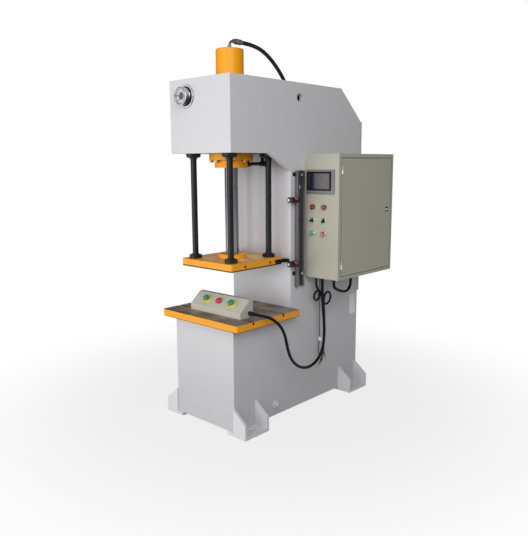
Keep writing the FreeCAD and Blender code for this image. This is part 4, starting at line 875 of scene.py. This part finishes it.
display = slab(146, 92, 0.3, corner=0.5, edge=0)
strip = slab(1.6, 88, 0.3, edge=0)
back = slab(185, 125, 40, corner=3, edge=1)
fitting("operator_panel", [
    (bezel, panel_seat, dark_plastic),
    (front_glass, moved(panel_seat, -8.5, 4, 5.6), glass_black),
    (display, moved(panel_seat, -5, 4, 6.4), screen),
    (strip, moved(panel_seat, -84, 4, 6.4), dark_plastic),
    (back, moved(panel_seat, z=-40), black_plastic)],
        "frame", replaces=["touch_panel"])
print("touch panel ready")

# %% [markdown]
# Lamps, selectors and push buttons are bought-in parts for 22 mm holes, in two columns under the
# panel. A lamp's lens has fine rings inside its rim, a selector has a tapered grip with a white
# line, and a push button is a flat cap with a shallow dish. The bright rings round the buttons are
# nodes of the construction model.

# %% Lamps, selectors and buttons
COLUMNS, LAMP_ROW, SELECTOR_ROW, BUTTON_ROW = (316, 402), 1295, 1215, 1135


def on_panel(name, places, profiles, body, node):
    """The same turned profiles, each in its own finish, at one or more places of the panel."""
    parts = [(turned(corners), seat(at(x, PANEL_DEPTH, level), FRONT), finish)
             for x, level in places for corners, finish in profiles]
    fitting(name, parts, body, replaces=[node])


rim_corners = [(0, -42), (10.9, -42), (10.9, 0), (15.4, 0.2), (15.8, 1.5), (15.8, 13.4), (14.8, 15.4),
               (12, 16.4), (10.6, 16.2), (0, 16)]
lens_corners = [(10.6, 16), (10.2, 17.2), (9.4, 17.0), (8.6, 18.0), (7.8, 17.8), (6.8, 18.6), (6.0, 18.4),
                (4.8, 19.1), (4.0, 19.0), (2.2, 19.5), (0, 19.7)]
on_panel("indicator_lamps", [(x, LAMP_ROW) for x in COLUMNS],
         [(rim_corners, wine_plastic), (lens_corners, lens_plastic)], "frame", "signal_lamps")
button = [(0, -6), (9.4, -6), (9.4, 12), (15.0, 12.2), (15.6, 13.2), (15.6, 17.4), (14.8, 19.2), (13.4, 20),
          (10.5, 19.5), (6, 18.9), (0, 18.7)]
on_panel("start_cap", [(COLUMNS[0], BUTTON_ROW)], [(button, start_green)], "start",
         "start_button")
on_panel("stop_cap", [(COLUMNS[1], BUTTON_ROW)], [(button, stop_red)], "stop", "stop_button")
skirt_corners = [(0, -8), (9.2, -8), (9.2, 8.2), (12.4, 8.4), (12.8, 9.4), (12.8, 11), (11.6, 12), (0, 12.2)]
for name, x, slant, body, node in (
        ("left_knob", COLUMNS[0], 68, "left_selector", "selector_left"),
        ("right_knob", COLUMNS[1], 28, "right_selector", "selector_right")):
    here = seat(at(x, PANEL_DEPTH, SELECTOR_ROW), FRONT, roll=-slant)
    grip = slab(12, 28, 12.5, corner=3.6, edge=1.4)
    outer = [v for v in grip.verts if v.co.z > 9]
    bmesh.ops.scale(grip, vec=(0.74, 0.96, 1), verts=outer)
    line = slab(1.2, 8, 0.3, edge=0)
    fitting(name, [(turned(skirt_corners), here, black_plastic), (grip, moved(here, z=10.8), black_plastic),
                   (line, moved(here, y=8, z=23.2), ivory_plastic)],
            body, replaces=[node])
print("panel controls", 3 * len(COLUMNS))

# %% [markdown]
# The two-hand console has palm buttons: a wide yellow disc under a domed cap. The dome is a spun curve
# of many short steps, which shades smoothly where a few flats would show. The red button between them
# has no disc, only a black collar.

# %% Palm buttons
CONSOLE_FACING = (0, -68, 78)
BUTTON_DEPTH, BUTTON_LEVEL = 113, 745
LEFT_BUTTON, STOP_BUTTON, RIGHT_BUTTON = -88, 19, 126
STEM, CAP, CROWN, ROLLED, CAP_THICK = 9.4, 20, 0.8, 2, 13


def on_console(x, depth=BUTTON_DEPTH, level=BUTTON_LEVEL):
    return seat(at(x, depth, level), CONSOLE_FACING)


def dome(high):
    """Profile of a mushroom cap on a stem, with a rolled edge and a round top."""
    low = high - CAP_THICK
    corners = [(0, -10), (STEM, -10), (STEM, low), (CAP - ROLLED, low)]
    for angle in (30, 60, 90):
        turn = radians(angle)
        corners.append((CAP - ROLLED + ROLLED * sin(turn), low + ROLLED - ROLLED * cos(turn)))
    for angle in range(0, 91, 9):
        turn = radians(angle)
        corners.append((CAP * cos(turn) ** CROWN, high - (high - low - 4) * (1 - sin(turn))))
    return corners


for side, x, high, finish, slot_name in (("left", LEFT_BUTTON, 27, cap_green, "green_plastic"),
                                         ("stop", STOP_BUTTON, 22, cap_red, "red_plastic"),
                                         ("right", RIGHT_BUTTON, 27, cap_green, "green_plastic")):
    fitting("palm_%s_button" % side, [(turned(dome(high), 64), on_console(x), finish)],
            "console_" + side, replaces=["console_%s_button" % side])
discs = []
for x, wide, finish in ((LEFT_BUTTON, 35, disc_yellow), (STOP_BUTTON, 14.5, black_plastic),
                        (RIGHT_BUTTON, 35, disc_yellow)):
    corners = [(9.9, -18), (11, -18), (11, 0), (wide - 0.6, 0), (wide, 0.6), (wide, 1.6),
               (wide - 0.8, 2.2), (14.0, 2.2), (13, 3), (10.2, 3), (9.9, -18)]
    discs.append((turned(corners, 64), on_console(x), finish))
    discs.append((slab(26, 26, 12, corner=2), moved(on_console(x), z=-30), black_plastic))
fitting("console_discs", discs, "frame", replaces=["console_collars"])
screw = [(0, 0.6), (1.4, 0.6), (1.5, 1.4), (3.4, 1.0), (4.0, 0), (4.0, -1), (0, -1)]
SCREW_DEPTH, SCREW_LEVEL = 84, 718.9
screws = [(turned(screw, 24), on_console(x, SCREW_DEPTH, SCREW_LEVEL), black_steel)
          for x in (LEFT_BUTTON, RIGHT_BUTTON)]
fitting("console_screws", screws, "frame")
print("console parts", len(discs) + len(screws))

# %% [markdown]
# Cables leave the cabinet and the console through glands: a hexagon locknut against the sheet, and a
# ribbed sleeve that tapers down to the cable so that it does not kink at the exit. The earth lead
# also carries a white marker.

# %% Cable glands
CABINET_UNDER, RIBS = 857, 5


def gland(cable, drop):
    """Sleeve and nut of a gland that stands on its sheet and tapers to the cable over the drop."""
    half = cable / 2
    top = half + 5.0
    corners = [(0, 0), (top - 0.8, 0), (top - 0.4, drop * 0.30)]
    for rib in range(RIBS):
        share = rib / RIBS
        radius = top - 0.6 - (top - 0.6 - half - 1.4) * share
        low = drop * (0.32 + 0.60 * share)
        corners += [(radius, low), (radius, low + drop * 0.07), (radius - 0.8, low + drop * 0.08),
                    (radius - 0.8, low + drop * 0.115)]
    corners += [(half + 1.2, drop * 0.94), (half + 0.9, drop - 0.1), (0, drop - 0.1)]
    return [turned(corners, 32), hex_prism(top * sqrt(3) * 0.985, drop * 0.26)]


gland_parts = []
for x, depth, cable, drop in ((347, 692, 18, 28), (291, 700, 13, 28), (427, 703, 18, 28), (405, 916, 18, 28),
                              (264, 775, 6, 12)):
    for shape in gland(cable, drop):
        gland_parts.append((shape, seat(at(x, depth, CABINET_UNDER), BELOW), black_plastic))
for shape in gland(18, 34):
    gland_parts.append((shape, seat(at(234, 148, 702), SIDE), black_plastic))
fitting("gland_set", gland_parts, "frame", replaces=["cable_glands"])
tag = slab(29, 26, 3, corner=2.5, edge=0.6)
fitting("earth_tag", [(tag, seat(at(271, 773, 422), FRONT), white_tag)], "frame")
print("gland parts", len(gland_parts))

# %% [markdown]
# The pressure line leaves the cylinder through a slim steel elbow and a crimped ferrule. Bent tube is
# a circle spun through a quarter turn, which keeps the bend round, unlike two straight pieces. The
# hose enters the head through a black grommet and ends in a second ferrule inside the column.

# %% Hose fittings
fitting_metal = turned_metal("dark plated fitting", (0.20, 0.17, 0.16), 0.34, metallic=0.85)
HOSE_LEVEL, ELBOW, RISE = 2256, 30, 50
FOOT_DEPTH, FOOT_LEVEL = 1018, 540
pipe_up = seat(at(0, RAM_DEPTH, HOSE_LEVEL - RISE), TOP, up=(-1, 0, 0))


def crimped(radius, length, rings=4):
    """Profile of a ferrule with pressed rings."""
    corners = [(0, 0), (radius - 3, 0), (radius - 1, 2)]
    step = (length - 8) / rings
    for number in range(rings):
        low = 4 + number * step
        corners += [(radius, low), (radius, low + step * 0.62), (radius - 1.0, low + step * 0.72),
                    (radius - 1.0, low + step * 0.9)]
    return corners + [(radius, length - 3), (radius - 1.5, length), (0, length)]


neck = [(0, 0), (8.5, 0), (8.5, 8), (7, 9), (7, RISE - ELBOW), (0, RISE - ELBOW)]
grommet = [(19, 0), (29.8, 0), (29.8, 20), (36, 20), (36, 23.5), (34.5, 25), (20.5, 25), (19, 23), (19, 0)]
hose_parts = [
    (hex_prism(30, 12), pipe_up, zinc_plate),
    (turned(neck, 32), pipe_up, fitting_metal),
    (hex_prism(22, 9), moved(pipe_up, z=12), fitting_metal),
    (bent_pipe(7, ELBOW), moved(pipe_up, z=RISE - ELBOW), fitting_metal),
    (hex_prism(24, 16), seat(at(0, RAM_DEPTH + ELBOW, HOSE_LEVEL), BACK), fitting_metal),
    (turned(crimped(16, 49), 40), seat(at(0, 291, HOSE_LEVEL), BACK), fitting_metal),
    (turned(grommet, 48), seat(at(0, 752, 2010), TOP), black_plastic),
    (hex_prism(36, 19), seat(at(0, FOOT_DEPTH, FOOT_LEVEL), TOP), zinc_plate),
    (turned(crimped(16, 21, 2), 40), seat(at(0, FOOT_DEPTH, FOOT_LEVEL + 19), TOP), fitting_metal)]
print("pressure line parts", len(hose_parts))

# %% [markdown]
# The return line leaves the side of the rod gland below the head, turns in a forged elbow and goes
# back up into the head. The elbow is a block with rounded edges, as forged ones are, where the hose
# above has a bent tube.

# %% Return line
OUTLET_ANGLE, OUTLET_LEVEL, GLAND_RADIUS, ARM = radians(74), 1556, 0.0975, 217
outlet = Vector((cos(OUTLET_ANGLE), sin(OUTLET_ANGLE), 0))
rim = at(0, RAM_DEPTH, OUTLET_LEVEL) + outlet * GLAND_RADIUS


def at_riser(level):
    return at(ARM * outlet.x, RAM_DEPTH + ARM * outlet.y, level)


spigot = [(0, 0.3), (11, 0.3), (11, 52), (10, 53.5), (0, 53.5)]
hose_parts += [
    (turned(spigot, 32), seat(rim, outlet), black_steel),
    (hex_prism(30, 22), seat(rim + outlet * 0.014, outlet), black_steel),
    (hex_prism(32, 17.9), seat(at_riser(1598.1), TOP), black_steel)]
fitting("pressure_line_fittings", hose_parts, "frame", replaces=["hose_fittings"])
fitting("return_line", [
    (round_bar(10, 56), seat(rim + outlet * 0.053, outlet), black_steel),
    (slab(31, 31, 30, corner=5, edge=1.5), seat(at_riser(1541), TOP, up=outlet), black_steel),
    (round_bar(10, 45), seat(at_riser(1570), TOP), black_steel)],
        "frame", replaces=["return_pipe"])
print("all line fittings", len(hose_parts) + 3)

# %% [markdown]
# Each guide rod runs in a blackened bush whose flange hangs under the head. The flange is turned with
# a wide rim that rounds in below to a small wiper on the rod, so it is one spun profile. A collar of
# the same kind, a thick disc with a short neck, clamps the foot of each rod on the platen.

# %% Guide bushes and rod collars
ROD_X, ROD_DEPTHS, HEAD_UNDER, COLLAR_FOOT = (-153, 153), (85, 405), 1616, 996


def on_rods(corners, level):
    """The same turned part round each of the four rods."""
    return [(turned(corners), seat(at(x, depth, level), TOP), black_steel)
            for x in ROD_X for depth in ROD_DEPTHS]


bush = [(18.3, -32), (21.5, -32), (22.5, -31), (22.5, -25), (33, -24), (39, -20.5), (42.2, -15.5), (43, -10),
        (43, -1), (42, 0), (30, 0), (30, 84), (18.3, 84), (18.3, -32)]
fitting("rod_bushes", on_rods(bush, HEAD_UNDER), "frame", replaces=["guide_bushes"])
ring = [(18.3, 0), (35, 0), (38, 3), (38, 20), (36.8, 21.5), (23, 21.5), (22.4, 27), (21.5, 28), (18.3, 28),
        (18.3, 0)]
fitting("rod_rings", on_rods(ring, COLLAR_FOOT), "slide", replaces=["rod_collars"])
print("bushes and collars", 2 * len(ROD_X) * len(ROD_DEPTHS))

# %% [markdown]
# Some details are plainer in the construction model, or too small for it. The door's lock has a round
# plate with a pale wing on it, and a tongue behind the door. Each sensor switch has a white face and
# a red ball on its clamp screw. The ball is an arc of a circle, spun, with a flat foot.

# %% Lock and sensor switches
DOOR_OUTSIDE, DOOR_INSIDE, LOCK_DEPTH, LOCK_LEVEL = 508, 484, 1159, 1261
lock_seat = seat(at(DOOR_OUTSIDE, LOCK_DEPTH, LOCK_LEVEL), SIDE)
lock_plate = [(0, -24), (9.9, -24), (9.9, 0), (15.4, 0), (16, 0.8), (15.4, 2.0), (12, 2.6), (9.5, 5), (0, 5)]
lock_core = [(0, 0), (5, 0), (5, 0.5), (4.4, 0.9), (0, 0.9)]
fitting("lock_wing", [
    (turned(lock_plate), lock_seat, black_plastic),
    (slab(42, 10, 5.6, corner=4, edge=1.4), moved(lock_seat, z=4.6), pale_chrome),
    (turned(lock_core), moved(lock_seat, z=10.0), black_plastic),
    (slab(16, 64, 3, corner=3), seat(at(DOOR_INSIDE, LOCK_DEPTH, LOCK_LEVEL - 24), SIDE), zinc_plate)],
        "lock", replaces=["door_lock"])
LOW_SWITCH, HIGH_SWITCH = 953, 1341
faces = [(slab(9, 14.5, 0.9, corner=1.5, edge=0.2), seat(at(267, 461, level), FRONT), white_tag)
         for level in (LOW_SWITCH, HIGH_SWITCH)]
fitting("switch_faces", faces, "frame")
BALL, BALL_MIDDLE = 13.5, 11.5
ball = [(0, 0), (6, 0)]
for angle in range(40, 181, 10):
    turn = radians(angle)
    ball.append((BALL * sin(turn), BALL_MIDDLE - BALL * cos(turn)))
balls = [(turned(ball), seat(at(290, 489, level + 13), SIDE), ball_red)
         for level in (LOW_SWITCH, HIGH_SWITCH)]
fitting("clamp_balls", balls, "frame", replaces=["clamp_knobs"])
print("lock, switch faces and clamp balls", 1 + len(faces) + len(balls))

# %% [markdown]
# The last details are screwed on. Two domed screws and a small clip hold the rail, socket screws stand
# in the platen's sides, the drain is a hexagon plug in a welded boss, and a thin bare plate is riveted
# to the side. Each screw reaches a little way into what holds it, so no gap can show.

# %% Screws, drain and plate
RAIL_FACE, FRAME_FACE, PLATEN_FACE = 275, 250, 215
screw = [(0, -2), (9, -2), (9, 1.4), (7.6, 4.2), (3, 5.2), (2.6, 3.2), (0, 3.2)]
rail_screws = [(turned(screw, 24), seat(at(RAIL_FACE, depth, level), SIDE), zinc_plate)
               for depth, level in ((572, 1488), (577, 887))]
rail_screws.append((slab(16, 22, 3, corner=2), seat(at(RAIL_FACE, 554, 1417), SIDE), zinc_plate))
fitting("rail_screws", rail_screws, "frame")
socket = [(0, -3), (7, -3), (7, 1.6), (6.2, 2.4), (3.6, 2.4), (3.2, -1), (0, -1)]
sockets = [(turned(socket, 24), seat(at(side * PLATEN_FACE, depth, 974), (side, 0, 0)), black_plastic)
           for side in (-1, 1) for depth in (138.5, 351.5)]
fitting("platen_screws", sockets, "slide")
boss = turned([(0, -5), (24, -5), (26, -2), (26, 5), (23.5, 8), (18.5, 8), (17.5, 5.5), (0, 5.5)])
drain_seat = seat(at(FRAME_FACE, 356, 87), SIDE)
plug_seat = seat(at(FRAME_FACE + 5, 356, 87), SIDE, roll=12)
# The boss and plug wear the lightened coat of the feet, which is painted light.
drain = [(boss, drain_seat, lit_feet_paint), (hex_prism(24, 13.5), plug_seat, lit_feet_paint)]
fitting("drain_boss", drain, "frame", replaces=["drain_plug"])
bare_metal = turned_metal("bare thin plate", (0.80, 0.83, 0.88), 0.45, ring=8, metallic=0.2, stain=0.08)
plate_seat = seat(at(FRAME_FACE, 1164, 592), SIDE)
plate_parts = [(slab(68, 141, 0.8, corner=2, edge=0.2), plate_seat, bare_metal)]
rivet = [(0, 0.5), (2.4, 0.5), (2.2, 1.4), (1.2, 1.9), (0, 2.0)]
plate_parts += [(turned(rivet, 16), moved(plate_seat, x, y), plain_steel)
                for x in (-29, 29) for y in (-65.5, 65.5)]
fitting("bare_plate", plate_parts, "frame")
print("screws, boss and plate", len(rail_screws) + len(sockets) + len(drain) + len(plate_parts))

# %% [markdown]
# The floor is a plain pale sheet. Near the press it is partly a matt surface that takes the shadow,
# and further out it turns into plain white for the camera, so no horizon shows. Metal and glass see
# the same white, through the light path's other rays.

# %% Floor
FLOOR_REACH = 14
NEAR_GLOW, GLOW_FROM, GLOW_TO = 0.80, 0.7, 2.4
ground = bmesh.new()
bmesh.ops.create_circle(ground, cap_ends=True, segments=96, radius=FLOOR_REACH)
sheet = bpy.data.meshes.new("floor")
ground.to_mesh(sheet)
ground.free()
floor = placed("floor", sheet)
pale = Finish("pale floor", Base_Color=(0.40, 0.40, 0.40, 1), Roughness=0.9, Specular_IOR_Level=0.1)
seen = pale.node("LightPath", out="Is Camera Ray")
mirrored = pale.node("LightPath", out="Is Glossy Ray")
through = pale.node("LightPath", out="Is Transmission Ray")
spread = pale.node("VectorMath", {"operation": "LENGTH"}, {0: pale.spot()}, out="Value")
glow = pale.node("Emission", values={"Color": (1, 1, 1), "Strength": 1.0})
outer = spread.rise(GLOW_FROM, GLOW_TO)
share = seen.most(mirrored).most(through) * (NEAR_GLOW + outer * (1 - NEAR_GLOW))
mixed = pale.node("MixShader", values={0: share, 1: Wire(pale, pale.shader.outputs[0]), 2: glow})
pale.tree.links.new(mixed.socket, pale.tree.nodes["Material Output"].inputs["Surface"])
floor.data.materials.append(pale.material)
print("floor reaches", FLOOR_REACH, "metres")

# %% [markdown]
# The world is white where the camera or a ray through glass meets it, and weaker as a light. So the
# background comes from its colour, and no extra light falls on the press.

# %% World
WORLD_LIGHT = 0.25
world = bpy.data.worlds.new("studio")
bpy.context.scene.world = world
world.use_nodes = True
tree = world.node_tree
sky = tree.nodes["Background"]
sky.inputs["Color"].default_value = (1, 1, 1, 1)
path = tree.nodes.new("ShaderNodeLightPath")
seen_world = tree.nodes.new("ShaderNodeMath")
seen_world.operation = "MAXIMUM"
tree.links.new(path.outputs["Is Camera Ray"], seen_world.inputs[0])
tree.links.new(path.outputs["Is Transmission Ray"], seen_world.inputs[1])
level = tree.nodes.new("ShaderNodeMapRange")
tree.links.new(seen_world.outputs[0], level.inputs[0])
level.inputs["To Min"].default_value = WORLD_LIGHT
level.inputs["To Max"].default_value = 1.0
tree.links.new(level.outputs[0], sky.inputs["Strength"])
print("world light", WORLD_LIGHT)

# %% [markdown]
# One wide softbox stands in front, a little above the middle, which makes the front of the press its
# brightest side. A low one at the left reaches under the head, and a high one at the right keeps the
# cabinet side readable.

# %% Softboxes


def softbox(name, place, target, size, power):
    """A square lamp at a place, turned to its target. Sizes are in metres, the power in watts."""
    lamp = bpy.data.lights.new(name, "AREA")
    lamp.shape = "SQUARE"
    lamp.size = size
    lamp.energy = power
    away = Vector(place) - Vector(target)
    turn = away.to_track_quat("Z", "Y").to_matrix().to_4x4()
    placed(name, lamp).matrix_world = Matrix.Translation(place) @ turn


softbox("key", place=(0.5, -5.6, 1.7), target=(0, 0, 1.0), size=3.2, power=111)
softbox("low", place=(-2.4, -4.4, 0.9), target=(0.1, 0, 1.2), size=2.4, power=62)
softbox("fill", place=(3.2, -2.6, 3.2), target=(0.2, 0, 1.0), size=3.0, power=90)
bpy.context.scene.view_settings.view_transform = "Standard"
print("softboxes", len(bpy.data.lights))
